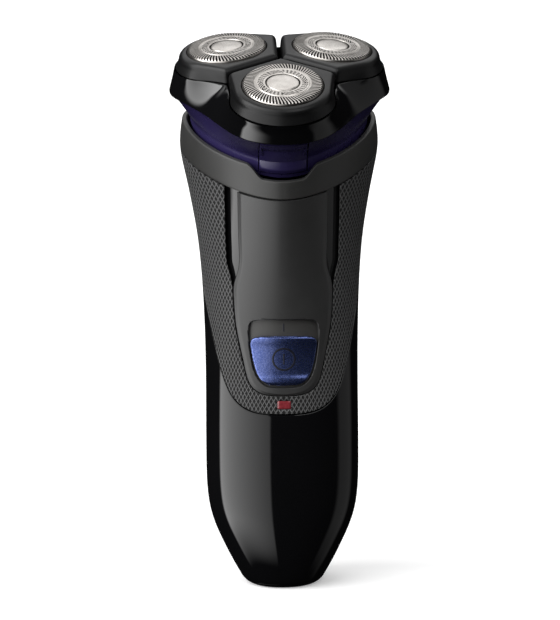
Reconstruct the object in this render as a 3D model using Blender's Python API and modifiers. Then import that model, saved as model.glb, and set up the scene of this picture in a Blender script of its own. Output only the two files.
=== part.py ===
"""A cordless rotary shaver with three floating cutting units.

World frame in metres, +Z up, the front of the shaver towards -Y. The origin is the bottom centre of the
bounding box, and the shaver stands on the flat end of its handle. All dimensions below are millimetres and
are scaled by MM where a mesh or a location is made. Handle parts are modelled about the handle's own axis.
Head parts are modelled in the head frame, whose origin is the centre of the shaving plane and whose Z is the
head's axis, leaning forward by HEAD_TILT. "Level" means the Z of the head frame, and "reach" is the distance
from its axis. Cutting unit parts are modelled about their own axis, with Z = 0 on the face of the foil.
"""

import functools
import math

import bmesh
import bpy
from mathutils import Matrix, Vector

MM = 0.001

# -------------------------------------------------------- driving dimensions, millimetres and degrees
BODY_Y = 7.77  # the handle's axis, behind the middle of the bounding box
HEAD_TILT = 20.5
HEAD_Y, HEAD_Z = -9.4, 149.0  # centre of the shaving plane, from the foot of the handle's axis
FIT = 0.3  # gap kept between pieces that touch

# Handle outline against height: half width, front, back, place of the widest line, squareness exponents.
HALF_WIDTH = ((0, 10.6), (6, 14.0), (12, 16.95), (17, 19.1), (22, 20.55), (28, 21.3), (36, 21.5), (60, 21.4),
              (76, 21.65), (90, 22.4), (100, 23.5), (108, 24.9), (114, 26.1), (120, 27.4), (124, 27.9),
              (129, 27.6), (134, 26.8), (140, 25.5))
FRONT = ((0, -12.2), (5, -14.2), (15, -16.6), (30, -18.3), (60, -19.0), (85, -20.0), (100, -22.2),
         (110, -24.2), (118, -25.8), (140, -28.0))
BACK = ((0, 11.6), (5, 13.2), (15, 15.6), (30, 17.2), (60, 18.2), (85, 19.2), (100, 20.4), (115, 21.0),
        (128, 20.2), (140, 18.2))
WIDEST_Y = ((0, 0.0), (80, 0.0), (110, 5.5), (122, 7.0), (140, 7.0))
FRONT_POWER = ((0, 2.2), (70, 2.2), (110, 1.62), (140, 1.55))
BACK_POWER = ((0, 2.2), (140, 2.5))
BASE_FILLET = 2.0
WALL = 2.6
SKIN = 1.2  # thickness of the grip and of the panel's edge, laid in a recess of the shells
PANEL_PROUD = 0.5

# Head levels
RIM_LEVEL, SEAM_LEVEL = -22.0, -30.4
COLLAR_WALL, NECK_GAP, NECK_WALL = 1.4, 1.0, 1.5
FLARE_LEVEL = -21.0
NOTCH_DEPTH, NOTCH_TOP, NOTCH_FOOT = 3.2, 9.2, 5.9
NECK_TOP, NECK_FOOT, NECK_FLOOR = -12.5, -25.8, -19.2
PIVOT_LEVEL = -23.5
DECK_LEVEL, DECK_THICK = -30.5, 1.0
SKIRT_FOOT = -12.2
HINGE_LEVEL, HINGE_REACH, KNUCKLE_R = -12.35, 23.6, 1.3
HINGE = HINGE_REACH, HINGE_LEVEL

# Cutting units
UNIT_REACH, UNIT_TILT = 17.0, 6.0
FOIL_R, FOIL_HOLE_R = 11.0, 11.3
PETAL_R, CORNER_REACH, GAP_HALF = 13.3, 17.3, 0.8
PETAL_FOOT, SEAM_Z = -7.0, -5.2
PETAL_CLEAR = 0.35
BULGE = 1.3
SKIRT_PLAN = ((0, 30.9), (10, 30.6), (20, 29.4), (30, 27.5), (40, 25.6), (50, 24.4), (60, 23.9), (68, 24.3),
              (77, 25.6), (86, 27.9), (93, 30.1), (102, 31.4), (110, 31.9), (120, 31.8), (135, 29.2),
              (150, 25.0), (165, 22.6), (180, 21.9))
UNIT_NAMES = ("front", "right", "left")

# Gear train
GEAR_MODULE, SUN_TEETH, GEAR_TEETH = 0.7, 26, 20
GEAR_REACH = GEAR_MODULE * (SUN_TEETH + GEAR_TEETH) / 2
GEAR_LOW, GEAR_HIGH = -15.9, -14.1
SPINDLE_R, TIP_R, TIP_TOP = 2.0, 1.2, -6.3

# Front panel, switch and indicator: half width of the tongue against height
TONGUE = ((56.2, 0.0), (56.5, 4.6), (57.6, 7.6), (59.8, 9.5), (62.5, 10.4), (66.2, 11.2), (71, 12.2),
          (77, 13.2), (83, 13.6), (87, 13.5), (92, 12.2), (97, 12.1), (112, 12.4), (124, 12.6))
CHANNEL = 3.2  # width of the black channel between the upper panel and the grip
GRIP_EDGE = ((0, 50.8), (32, 53.6), (45, 58.5), (58, 67.5), (72, 78.5), (90, 88.0), (120, 95.0), (150, 99.0),
             (180, 100.0))
SLIDER_LOW, SLIDER_HIGH = 59.2, 73.2
SLOT_LOW, SLOT_HIGH = 58.7, 77.8
LENS_Z, LENS_HALF_W, LENS_HALF_H = 53.6, 1.8, 1.05

MATERIALS = {
    "gloss_black": ((0.010, 0.010, 0.011), 0.08, 0.0),
    "satin_black": ((0.030, 0.030, 0.031), 0.42, 0.0),
    "grip_rubber": ((0.045, 0.045, 0.045), 0.70, 0.0),
    "panel_grey": ((0.035, 0.035, 0.036), 0.32, 0.1),
    "indigo": ((0.035, 0.022, 0.090), 0.15, 0.0),
    "switch_blue": ((0.10, 0.14, 0.36), 0.38, 0.5),
    "steel": ((0.66, 0.63, 0.60), 0.28, 1.0),
    "lens_red": ((0.55, 0.06, 0.08), 0.15, 0.0),
    "white_resin": ((0.72, 0.71, 0.68), 0.45, 0.0),
    "board_green": ((0.03, 0.16, 0.07), 0.50, 0.0),
    "cell_wrap": ((0.05, 0.22, 0.28), 0.40, 0.0),
    "brass": ((0.72, 0.52, 0.22), 0.30, 1.0),
}


# ---------------------------------------------------------------- curves
def smooth(table, t):
    """Cubic curve through the (position, value) pairs of a table, with the slopes of its chords."""
    if t <= table[0][0]:
        return table[0][1]
    for i in range(len(table) - 1):
        (t0, v0), (t1, v1) = table[i], table[i + 1]
        if t <= t1:
            break
    else:
        return table[-1][1]
    before, after = table[max(i - 1, 0)], table[min(i + 2, len(table) - 1)]
    m0 = (v1 - before[1]) / (t1 - before[0])
    m1 = (after[1] - v0) / (after[0] - t0)
    h, s = t1 - t0, (t - t0) / (t1 - t0)
    return ((2 * s**3 - 3 * s**2 + 1) * v0 + (s**3 - 2 * s**2 + s) * h * m0
            + (3 * s**2 - 2 * s**3) * v1 + (s**3 - s**2) * h * m1)


def signed_power(value, power):
    return math.copysign(abs(value) ** power, value)


# ---------------------------------------------------------------- the handle's surface
def body_outline(turn, z, inset=0.0):
    """(x, y) on the handle at height z. Turn is 0 at the front, 90 at +X and 180 at the back."""
    inset += BASE_FILLET - math.sqrt(max(BASE_FILLET**2 - max(BASE_FILLET - z, 0.0) ** 2, 0.0))
    half, widest = smooth(HALF_WIDTH, z), smooth(WIDEST_Y, z)

    def at(angle):
        s, c = math.sin(math.radians(angle)), math.cos(math.radians(angle))
        if c >= 0:
            power = 2 / smooth(FRONT_POWER, z)
            return half * signed_power(s, power), widest - (widest - smooth(FRONT, z)) * c**power
        power = 2 / smooth(BACK_POWER, z)
        return half * signed_power(s, power), widest + (smooth(BACK, z) - widest) * (-c) ** power

    (x, y), (x0, y0), (x1, y1) = at(turn), at(turn - 0.6), at(turn + 0.6)
    length = math.hypot(x1 - x0, y1 - y0)
    return x - inset * (y1 - y0) / length, y + inset * (x1 - x0) / length


def level_height(y, level):
    """Height of the head's level plane above the point y of the handle."""
    tilt = math.radians(HEAD_TILT)
    return HEAD_Z + (level + (y - HEAD_Y) * math.sin(tilt)) / math.cos(tilt)


def body_at_level(turn, level, inset=0.0, drop=None):
    """Point of the handle's surface on a level plane of the head. drop(x) lowers it, as at a notch."""
    z = level_height(0.0, level)
    for _ in range(12):
        x, y = body_outline(turn, z, inset)
        z = level_height(y, level - (drop(x) if drop and abs(turn) < 90 else 0.0))
    return x, y, z


def to_head(point):
    """The same point in the head frame."""
    tilt = math.radians(HEAD_TILT)
    y, z = point[1] - HEAD_Y, point[2] - HEAD_Z
    return point[0], y * math.cos(tilt) + z * math.sin(tilt), z * math.cos(tilt) - y * math.sin(tilt)


@functools.cache
def collar_reach(angle, level, inset=0.0):
    """Distance from the head's axis to the handle's surface, at an angle counted from the front."""
    angle = abs((angle + 180) % 360 - 180)
    low, high = 0.0, 180.0
    for _ in range(30):
        turn = (low + high) / 2
        x, y, _ = to_head(body_at_level(turn, level, inset))
        if math.degrees(math.atan2(x, -y)) < angle:
            low = turn
        else:
            high = turn
    return math.hypot(x, y)


def notch(x):
    """How far the collar's rim is cut down at x, in front of the release button."""
    return NOTCH_DEPTH * min(max((NOTCH_TOP - abs(x)) / (NOTCH_TOP - NOTCH_FOOT), 0.0), 1.0)


# ---------------------------------------------------------------- the head's outlines
def polar(reach, angle, level):
    """Point of the head frame. Angle is 0 at the front and 90 at +X."""
    a = math.radians(angle)
    return reach * math.sin(a), -reach * math.cos(a), level


def petal_corner():
    """Outer corner of a petal in the cutting unit's plan, +Y towards the head's axis."""
    x = CORNER_REACH * math.sin(math.radians(60)) - 0.5 * GAP_HALF
    y = UNIT_REACH - CORNER_REACH * math.cos(math.radians(60)) - math.sin(math.radians(60)) * GAP_HALF
    return x, y


def petal_reach(angle, inset=0.0):
    """Distance from a cutting unit's axis to its petal's edge, at an angle that is 0 outwards."""
    angle = abs((angle + 180) % 360 - 180)
    cx, cy = petal_corner()
    far, corner = math.hypot(cx, cy), math.degrees(math.atan2(cx, -cy))
    tangent = corner - math.degrees(math.acos(PETAL_R / far))
    if angle <= tangent:
        return PETAL_R - inset
    if angle <= corner:
        return PETAL_R / math.cos(math.radians(angle - tangent)) - inset
    # the straight edge beside the gap, whose normal points 150 degrees from outwards
    edge = UNIT_REACH * math.sin(math.radians(60)) - GAP_HALF
    return (edge - inset) / math.cos(math.radians(angle - 150))


def petal_bulge(angle):
    """How far the petal's wall spreads between its shoulder and the seam, away from the gaps."""
    away = abs((angle + 180) % 360 - 180)
    return BULGE * min(max((112 - away) / 40, 0.0), 1.0)


def seam_table():
    """(head angle, reach, level) of half a petal's outline at the seam."""
    tilt, table = math.radians(UNIT_TILT), []
    cx, cy = petal_corner()
    corner = math.degrees(math.atan2(cx, -cy))
    for k in range(61):
        a = corner * k / 60
        x, y, z = polar(petal_reach(a, -petal_bulge(a)), a, SEAM_Z)
        y, z = y * math.cos(tilt) - z * math.sin(tilt) - UNIT_REACH, y * math.sin(tilt) + z * math.cos(tilt)
        table.append((math.degrees(math.atan2(x, -y)), math.hypot(x, y), z))
    return table


def at_seam(angle, column):
    """Value of the seam table at an angle of the head, level beyond the petal's corner."""
    angle = abs((angle + 60) % 120 - 60)
    for low, high in zip(SEAM, SEAM[1:]):
        if angle <= high[0]:
            share = max(angle - low[0], 0.0) / (high[0] - low[0])
            return low[column] + (high[column] - low[column]) * share
    return SEAM[-1][column]


SEAM = seam_table()


def opening_reach(angle):
    """Distance from the head's axis to the outer edge of the three petals."""
    return at_seam(angle, 1)


def opening_level(angle):
    """Level of the seam between the petals and the skirt."""
    return at_seam(angle, 2)


def skirt_reach(angle, inset=0.0):
    return smooth(SKIRT_PLAN, abs((angle + 180) % 360 - 180)) - inset


# ---------------------------------------------------------------- Blender helpers
def clear_scene():
    for obj in list(bpy.data.objects):
        bpy.data.objects.remove(obj, do_unlink=True)


def make_collection(name):
    collection = bpy.data.collections.new(name)
    bpy.context.scene.collection.children.link(collection)
    return collection


clear_scene()
SHAVER = make_collection("rotary_shaver")
CUTTERS = make_collection("construction")
CUTTERS.hide_render = True


def make_material(name):
    if name in bpy.data.materials:
        return bpy.data.materials[name]
    colour, roughness, metallic = MATERIALS[name]
    material = bpy.data.materials.new(name)
    material.use_nodes = True
    shader = material.node_tree.nodes["Principled BSDF"]
    shader.inputs["Base Color"].default_value = (*colour, 1.0)
    shader.inputs["Roughness"].default_value = roughness
    shader.inputs["Metallic"].default_value = metallic
    material.diffuse_color = (*colour, 1.0)
    return material


def make_empty(name, location=(0, 0, 0), rotation=(0, 0, 0), parent=None):
    empty = bpy.data.objects.new(name, None)
    SHAVER.objects.link(empty)
    empty.parent = parent
    empty.location = Vector(location) * MM
    empty.rotation_euler = [math.radians(a) for a in rotation]
    return empty


def add_object(name, mesh, material, parent, location=(0, 0, 0), rotation=(0, 0, 0)):
    """Links the mesh as a part, or as a construction solid where it has no material."""
    obj = bpy.data.objects.new(name, mesh)
    (SHAVER if material else CUTTERS).objects.link(obj)
    obj.parent = parent
    obj.location = Vector(location) * MM
    obj.rotation_euler = [math.radians(a) for a in rotation]
    if material:
        mesh.materials.append(make_material(material))
    else:
        obj.hide_render = True
        obj.display_type = "WIRE"
    mesh.shade_smooth()
    mesh.set_sharp_from_angle(angle=math.radians(35))
    return obj


def finish_mesh(name, bm, recalculate=True):
    if recalculate:
        bmesh.ops.recalc_face_normals(bm, faces=bm.faces)
    mesh = bpy.data.meshes.new(name)
    bm.to_mesh(mesh)
    bm.free()
    return mesh


def ring_mesh(name, rings, cyclic=False):
    """A closed skin over rings of equal count, the last joined to the first if cyclic, else capped."""
    bm = bmesh.new()
    rows = [[bm.verts.new(Vector(p) * MM) for p in ring] for ring in rings]
    pairs = list(zip(rows, rows[1:])) + ([(rows[-1], rows[0])] if cyclic else [])
    for low, high in pairs:
        for i in range(len(low)):
            j = (i + 1) % len(low)
            bm.faces.new((low[i], low[j], high[j], high[i]))
    if not cyclic:
        bm.faces.new(rows[0])
        bm.faces.new(rows[-1])
    return finish_mesh(name, bm)


def turned(name, profile, material, parent, location=(0, 0, 0), rotation=(0, 0, 0), steps=24):
    """A turned piece from (radius, height) pairs, taken clockwise so that its faces point out."""
    mesh = bpy.data.meshes.new(name)
    area = sum(r0 * h1 - r1 * h0 for (r0, h0), (r1, h1) in zip(profile, profile[1:] + profile[:1]))
    profile = profile if area < 0 else profile[::-1]
    closed = profile[0][0] > 0
    count = len(profile)
    edges = [(i, (i + 1) % count) for i in range(count if closed else count - 1)]
    mesh.from_pydata([(r * MM, 0.0, h * MM) for r, h in profile], edges, [])
    obj = add_object(name, mesh, material, parent, location, rotation)
    screw = obj.modifiers.new("turn", "SCREW")
    screw.steps = screw.render_steps = steps
    screw.use_merge_vertices = True
    screw.merge_threshold = 0.00001
    return obj


def cylinder(name, radius, low, high, material, parent, at=(0, 0), axis="Z", sides=16):
    """A plain cylinder from low to high along an axis, centred on the other two coordinates."""
    bm = bmesh.new()
    bmesh.ops.create_cone(bm, cap_ends=True, segments=sides, radius1=radius * MM, radius2=radius * MM,
                          depth=(high - low) * MM)
    middle = (low + high) / 2
    turn, place = {
        "Z": (Matrix.Identity(4), (at[0], at[1], middle)),
        "Y": (Matrix.Rotation(math.radians(90), 4, "X"), (at[0], middle, at[1])),
        "X": (Matrix.Rotation(math.radians(90), 4, "Y"), (middle, at[0], at[1])),
    }[axis]
    bm.transform(Matrix.Translation(Vector(place) * MM) @ turn)
    return add_object(name, finish_mesh(name, bm, False), material, parent)


def box(name, low, high, material, parent, bevel=0.0):
    """A box between two corners, with its edges rounded by bevel."""
    bm = bmesh.new()
    bmesh.ops.create_cube(bm, size=1.0)
    size, middle = Vector(high) - Vector(low), (Vector(high) + Vector(low)) / 2
    bm.transform(Matrix.Translation(middle * MM) @ Matrix.Diagonal((*(size * MM), 1.0)))
    obj = add_object(name, finish_mesh(name, bm, False), material, parent)
    if bevel:
        rounding = obj.modifiers.new("rounding", "BEVEL")
        rounding.width = bevel * MM
        rounding.segments = 2
    return obj


def prism(name, outline, low, high, material, parent, axis="Z"):
    """A flat outline drawn out along Z, or one of (x, z) points drawn out along Y."""
    if axis == "Z":
        rings = [[(x, y, h) for x, y in outline] for h in (low, high)]
    else:
        rings = [[(x, h, z) for x, z in outline] for h in (low, high)]
    return add_object(name, ring_mesh(name, rings), material, parent)


def combine(obj, other, operation):
    modifier = obj.modifiers.new(operation.lower(), "BOOLEAN")
    modifier.operation = operation
    modifier.object = other
    return obj


def cut(obj, *others):
    for other in others:
        combine(obj, other, "DIFFERENCE")


def join(obj, *others):
    for other in others:
        combine(obj, other, "UNION")


# ---------------------------------------------------------------- handle
HALF_TURNS = [0, 8, 15, 22, 30, 40, 50, 60, 70, 80, 90, 101, 112, 123, 134, 145, 156, 168]
TURNS = HALF_TURNS + [180] + [360 - t for t in reversed(HALF_TURNS[1:])]
HANDLE = make_empty("handle_axis", (0, BODY_Y, 0))
SHELL_FOOT = 1.5
SHELL_HEAD = SEAM_LEVEL - 0.15


def grip_edge(turn):
    return smooth(GRIP_EDGE, abs((turn + 180) % 360 - 180))


@functools.cache
def shell_top(turn, inset=0.0):
    """Height of the shells' tilted upper end, at a depth below the surface."""
    return body_at_level(turn, SHELL_HEAD, inset)[2]


def surface_ring(turns, height, inset):
    return [(*body_outline(t, height(t, inset), inset), height(t, inset)) for t in turns]


def shell_half(name, turns):
    """Half of the handle's shell, thinner above the grip's edge, where the grip and the panel lie on it."""
    heights = [(lambda t, depth, s=s: SHELL_FOOT + (grip_edge(t) - SHELL_FOOT) * s)
               for s in (0, .1, .25, .4, .6, .8, 1)]
    rings = [surface_ring(turns, h, 0.0) + surface_ring(turns[::-1], h, WALL) for h in heights]
    for s in (0.006, 0.2, 0.4, 0.6, 0.8, 1):
        def height(t, depth, s=s):
            return grip_edge(t) + (shell_top(t, depth) - grip_edge(t)) * s
        rings.append(surface_ring(turns, height, SKIN) + surface_ring(turns[::-1], height, WALL))
    return add_object(name, ring_mesh(name, rings), "gloss_black", HANDLE)


def build_shells():
    side = [t for t in HALF_TURNS if 0 < t < 90]
    front = shell_half("front_shell", [-89.8] + [-t for t in reversed(side)] + [0] + side + [89.8])
    rear = shell_half("rear_shell", [90.2] + [t for t in TURNS if 90 < t < 270] + [269.8])
    cut(front, box("switch_stem_slot", (-2.1, -30, 63.2), (2.1, -10, 73.4), None, HANDLE),
        cylinder("indicator_hole", 1.0, -30, -10, None, HANDLE, (0, LENS_Z), "Y", 12))
    return front, rear


def build_base():
    plug = WALL + FIT
    rings = [surface_ring(TURNS, lambda t, depth, h=h: h, inset)
             for h, inset in ((0, 0), (0.35, 0), (0.8, 0), (1.25, 0), (1.26, plug), (4.0, plug))]
    base = add_object("base_cap", ring_mesh("base_cap", rings), "gloss_black", HANDLE)
    cut(base, box("inlet_opening", (-5.2, -2.4, -1), (5.2, 4.4, 6), None, HANDLE))
    socket = box("charging_socket", (-4.9, -2.1, 0.4), (4.9, 4.1, 9.0), "satin_black", HANDLE)
    cut(socket, box("socket_cavity", (-3.9, -1.2, -1), (3.9, 3.2, 7.0), None, HANDLE))
    for side, x in (("left", -1.9), ("right", 1.9)):
        cut(socket, cylinder("pin_hole_" + side, 0.8, 5, 12, None, HANDLE, (x, 1.0), sides=12))
        cylinder("socket_pin_" + side, 0.55, 4.7, 10.2, "brass", HANDLE, (x, 1.0), sides=12)


def tongue_outline(margin, channel):
    """The panel's outline grown by a margin, and by the channel beside its upper part."""
    side = []
    for z, half in TONGUE[1:]:
        extra = channel * min(max((z - 86.0) / 7.0, 0.0), 1.0)
        side.append((half + margin + extra, z - (margin if z < 58 else 0.0)))
    side.append((side[-1][0], 150.0))
    return side + [(-x, z) for x, z in reversed(side)]


def build_grip():
    fractions = (0, 0.14, 0.3, 0.5, 0.7, 0.85, 1)
    rings = []
    for t in TURNS:
        foot = grip_edge(t) + 2 * FIT
        outer = [foot + (shell_top(t) - foot) * s for s in fractions]
        inner = [foot + (shell_top(t, SKIN - FIT) - foot) * s for s in fractions]
        outer = [(*body_outline(t, z, 0.0), z) for z in outer]
        inner = [(*body_outline(t, z, SKIN - FIT), z) for z in inner]
        rings.append(outer + inner[::-1])
    grip = add_object("grip", ring_mesh("grip", rings, cyclic=True), "grip_rubber", HANDLE)
    cut(grip, prism("panel_opening", tongue_outline(FIT, CHANNEL), -45, 0, None, HANDLE, "Y"),
        box("lens_opening", (-LENS_HALF_W - 0.2, -30, LENS_Z - LENS_HALF_H - 0.2),
            (LENS_HALF_W + 0.2, -10, LENS_Z + LENS_HALF_H + 0.2), None, HANDLE))
    front = smooth(FRONT, LENS_Z)
    box("indicator_lens", (-LENS_HALF_W, front - 0.1, LENS_Z - LENS_HALF_H),
        (LENS_HALF_W, front + SKIN - FIT, LENS_Z + LENS_HALF_H), "lens_red", HANDLE, 0.15)


def surface_patch(name, material, turns, heights, outer, inner, parent):
    """A curved plate that follows the handle's surface between two insets."""
    rings = []
    for t in turns:
        rings.append([(*body_outline(t, h(t, outer), outer), h(t, outer)) for h in heights]
                     + [(*body_outline(t, h(t, inner), inner), h(t, inner)) for h in heights[::-1]])
    return add_object(name, ring_mesh(name, rings), material, parent)


def slot_outline():
    side = [(4.6, SLOT_LOW), (6.3, 59.7), (8.0, 62.5), (9.0, 66.5), (9.5, 71.0), (9.5, SLOT_HIGH - 1.0),
            (8.8, SLOT_HIGH)]
    return side + [(-x, z) for x, z in reversed(side)]


def slider_outline():
    side = [(3.6, SLIDER_LOW), (5.2, 60.0), (7.2, 62.8), (8.3, 66.8), (8.7, 71.0), (8.5, 72.6),
            (7.8, SLIDER_HIGH)]
    return side + [(-x, z) for x, z in reversed(side)]


def build_panel_and_switch():
    turns = list(range(-64, 65, 8))
    heights = [lambda t, depth, s=s: 55.0 + (shell_top(t, depth) - 55.0) * s
               for s in (0, .1, .2, .3, .4, .55, .7, .85, 1)]
    panel = surface_patch("front_panel", "panel_grey", turns, heights, -PANEL_PROUD, SKIN - FIT, HANDLE)
    combine(panel, prism("panel_shape", tongue_outline(0.0, 0.0), -45, 0, None, HANDLE, "Y"), "INTERSECT")
    cut(panel, prism("switch_slot", slot_outline(), -45, 0, None, HANDLE, "Y"))
    low = [lambda t, depth, z=z: z for z in (57, 61, 65, 69, 72, 75)]
    turns = list(range(-42, 43, 7))
    slider = surface_patch("slide_switch", "switch_blue", turns, low, -1.0, SKIN - FIT, HANDLE)
    combine(slider, prism("slider_shape", slider_outline(), -45, 0, None, HANDLE, "Y"), "INTERSECT")
    join(slider, box("slider_stem", (-1.6, -18.6, 64.0), (1.6, -14.4, 68.4), None, HANDLE))


def build_collar():
    turns = [0, 6, 12, 15.5, 19.5, 23, 30] + HALF_TURNS[5:]
    turns = turns + [180] + [360 - t for t in reversed(turns[1:])]
    steps = ((0, 0.15), (0.06, 0), (0.3, 0), (0.6, 0), (0.88, 0), (0.97, 0.1), (1, 0.35))
    rings = []
    for t in turns:
        outer, inner = [], []
        for f, inset in steps:
            level = SEAM_LEVEL + 0.15 + (RIM_LEVEL - SEAM_LEVEL - 0.15) * f
            outer.append(body_at_level(t, level, inset, lambda x, f=f: notch(x) * f))
            inner.append(body_at_level(t, level, COLLAR_WALL, lambda x, f=f: notch(x) * f))
        rings.append(outer + inner[::-1])
    add_object("collar", ring_mesh("collar", rings, cyclic=True), "satin_black", HANDLE)


# ---------------------------------------------------------------- inside the handle
MOTOR_Y = HEAD_Y - PIVOT_LEVEL * math.sin(math.radians(HEAD_TILT))
PIVOT_Z = HEAD_Z + PIVOT_LEVEL * math.cos(math.radians(HEAD_TILT))


def build_inside():
    frame = box("inner_frame", (-12.5, -7.6, 17.0), (12.5, -6.2, 80.0), "white_resin", HANDLE)
    join(frame, box("frame_foot", (-6.5, -7.6, 11.0), (6.5, -6.2, 18.0), None, HANDLE),
         box("battery_shelf", (-6.5, -6.9, 11.0), (6.5, 10.2, 12.4), None, HANDLE),
         box("motor_shelf", (-11.5, -11.5, 78.4), (11.5, 11.0, 80.0), None, HANDLE))
    turned("battery_cell", ((0, 63.4), (2.6, 63.4), (2.6, 62.8), (6.6, 62.8), (7, 62.3), (7, 14.7),
                            (6.6, 14.2), (0, 14.2)), "cell_wrap", HANDLE, (0, 4.2, 0))
    box("battery_tab_lower", (-3, -5.4, 13.2), (3, 6.2, 13.6), "steel", HANDLE)
    box("battery_tab_upper", (-3, -5.4, 63.9), (3, 6.2, 64.3), "steel", HANDLE)
    box("circuit_board", (-11, -9.9, 18), (11, -8.5, 76), "board_green", HANDLE)
    box("mode_switch", (-4.5, -13.6, 62.0), (4.5, -10.1, 74.5), "satin_black", HANDLE, 0.3)
    box("indicator_led", (-1.6, -12.2, LENS_Z - 1), (1.6, -10.1, LENS_Z + 1), "white_resin", HANDLE, 0.2)
    box("control_chip", (-2.6, -11.3, 33), (2.6, -10.1, 38.2), "satin_black", HANDLE)
    turned("motor_can", ((1.1, 108.5), (3, 108.5), (3, 107.5), (9.6, 107.5), (10.4, 106.7), (10.4, 84),
                         (9.4, 84), (9.4, 105.5), (1.1, 105.5)), "steel", HANDLE, (0, MOTOR_Y, 0))
    turned("motor_end_cap", ((1.1, 86), (9.1, 86), (9.1, 83.7), (10.4, 83.7), (10.4, 80.6), (1.1, 80.6)),
           "white_resin", HANDLE, (0, MOTOR_Y, 0))


# ---------------------------------------------------------------- head pivot and drive
HEAD = make_empty("head_axis", (0, BODY_Y + HEAD_Y, HEAD_Z), (HEAD_TILT, 0, 0))


def build_deck():
    """The plate that closes the handle, with the two posts that carry the gimbal."""
    rings = [[to_head(body_at_level(t, DECK_LEVEL - d, WALL + FIT)) for t in TURNS] for d in (DECK_THICK, 0)]
    deck = add_object("pivot_deck", ring_mesh("pivot_deck", rings), "satin_black", HEAD)
    for side in (-1, 1):
        name = "left" if side < 0 else "right"
        low, high = sorted((side * 15.0, side * 17.4))
        foot, top = DECK_LEVEL - 0.5, PIVOT_LEVEL + 1.9
        join(deck, box("post_" + name, (low, -2.6, foot), (high, 2.6, top), None, HEAD))
        cut(deck, cylinder("screw_hole_" + name, 1.25, -33, -28, None, HEAD, (side * 13, 9), sides=12))
        turned("deck_screw_" + name, ((0, -28.2), (1.5, -28.2), (2.0, -28.7), (2.0, -29.6), (0.9, -29.6),
                                      (0.9, -37), (0, -37)), "steel", HEAD, (side * 13, 9, 0), steps=12)
    cut(deck, cylinder("post_bores", 1.4, -30, 30, None, HEAD, (0, PIVOT_LEVEL), "X", 16),
        cylinder("shaft_opening", 3.5, 100, 140, None, HANDLE, (0, MOTOR_Y), "Z", 20))


def build_drive():
    profile = ((0, PIVOT_Z + 1.6), (1.0, PIVOT_Z + 1.25), (1.6, PIVOT_Z), (1.3, PIVOT_Z - 0.9),
               (0.75, PIVOT_Z - 1.4), (0.75, 82), (0, 82))
    turned("motor_shaft", profile, "steel", HANDLE, (0, MOTOR_Y, 0), steps=16)
    profile = ((11.2, -21.9), (13.2, -21.9), (13.2, -25.1), (11.2, -25.1))
    ring = turned("gimbal_ring", profile, "white_resin", HEAD, steps=32)
    for side in (-1, 1):
        low, high = sorted((side * 12.4, side * 17.2))
        join(ring, cylinder(f"pitch_pin{side}", 1.0, low, high, None, HEAD, (0, PIVOT_LEVEL), "X", 12),
             cylinder(f"roll_pin{side}", 1.0, *sorted((side * 12.4, side * 16.4)), None, HEAD,
                      (0, PIVOT_LEVEL), "Y", 12))


def gear_mesh(name, teeth, phase, bore, low, high):
    """A spur gear with straight-sided teeth. Phase is the angle of a tooth from the front."""
    pitch = GEAR_MODULE * teeth / 2
    outer, root, step = pitch + 0.75 * GEAR_MODULE, pitch - 1.1 * GEAR_MODULE, 360 / teeth
    outline = []
    for k in range(teeth):
        for radius, part in ((root, -0.29), (outer, -0.11), (outer, 0.11), (root, 0.29)):
            outline.append(polar(radius, phase + (k + part) * step, 0.0)[:2])
    inside = [polar(bore, phase + (k + part) * step, 0.0)[:2] for k in range(teeth)
              for part in (-0.29, -0.11, 0.11, 0.29)]
    rings = [[(x, y, low) for x, y in outline], [(x, y, high) for x, y in outline],
             [(x, y, high) for x, y in inside], [(x, y, low) for x, y in inside]]
    return ring_mesh(name, rings, cyclic=True)


def neck_reach(angle, level, inset=0.0):
    """Distance from the head's axis to the neck, straight below the collar's rim and flared above it."""
    foot = collar_reach(angle, RIM_LEVEL) - COLLAR_WALL - NECK_GAP
    rise = min(max((level - FLARE_LEVEL) / (NECK_TOP - FLARE_LEVEL), 0.0), 1.0)
    return foot + (skirt_reach(angle, 1.0) - foot) * rise**1.05 - inset


def plate(name, material, parent, outline, low, high):
    return prism(name, outline, low, high, material, parent)


def build_gears():
    gears = make_empty("sun_axis", (0, 0, 0), parent=HEAD)
    mesh = gear_mesh("sun_gear", SUN_TEETH, 0.0, 3.5, GEAR_LOW, GEAR_HIGH)
    add_object("sun_gear", mesh, "white_resin", gears)
    turned("drive_cup", ((0, -14.3), (3.2, -14.3), (3.2, -24.6), (2.3, -24.6), (2.3, -20.6), (0, -20.6)),
           "steel", gears, steps=20)
    step = 360 / GEAR_TEETH
    spindle = ((0, TIP_TOP), (TIP_R - 0.3, TIP_TOP), (TIP_R, TIP_TOP - 0.5), (TIP_R, -9.4),
               (SPINDLE_R, -9.8), (SPINDLE_R, -16.4), (0.9, -16.4), (0.9, -18.9), (0, -18.9))
    for name, turn in zip(UNIT_NAMES, (0, 120, 240)):
        spoke = make_empty("spoke_" + name, rotation=(0, 0, turn), parent=HEAD)
        axis = make_empty("spindle_axis_" + name, (0, -GEAR_REACH, 0), parent=spoke)
        phase = 180 + ((turn * SUN_TEETH / 360) % 1 + 0.5) * step
        mesh = gear_mesh("drive_gear_" + name, GEAR_TEETH, phase, 2.3, GEAR_LOW, GEAR_HIGH)
        add_object("drive_gear_" + name, mesh, "white_resin", axis)
        turned("drive_spindle_" + name, spindle, "steel", axis, steps=16)


NECK_ANGLES = [0, 6, 12, 18] + list(range(24, 180, 9))
NECK_ANGLES = sorted(set(NECK_ANGLES + [180] + [360 - a for a in NECK_ANGLES[1:]]))


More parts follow.
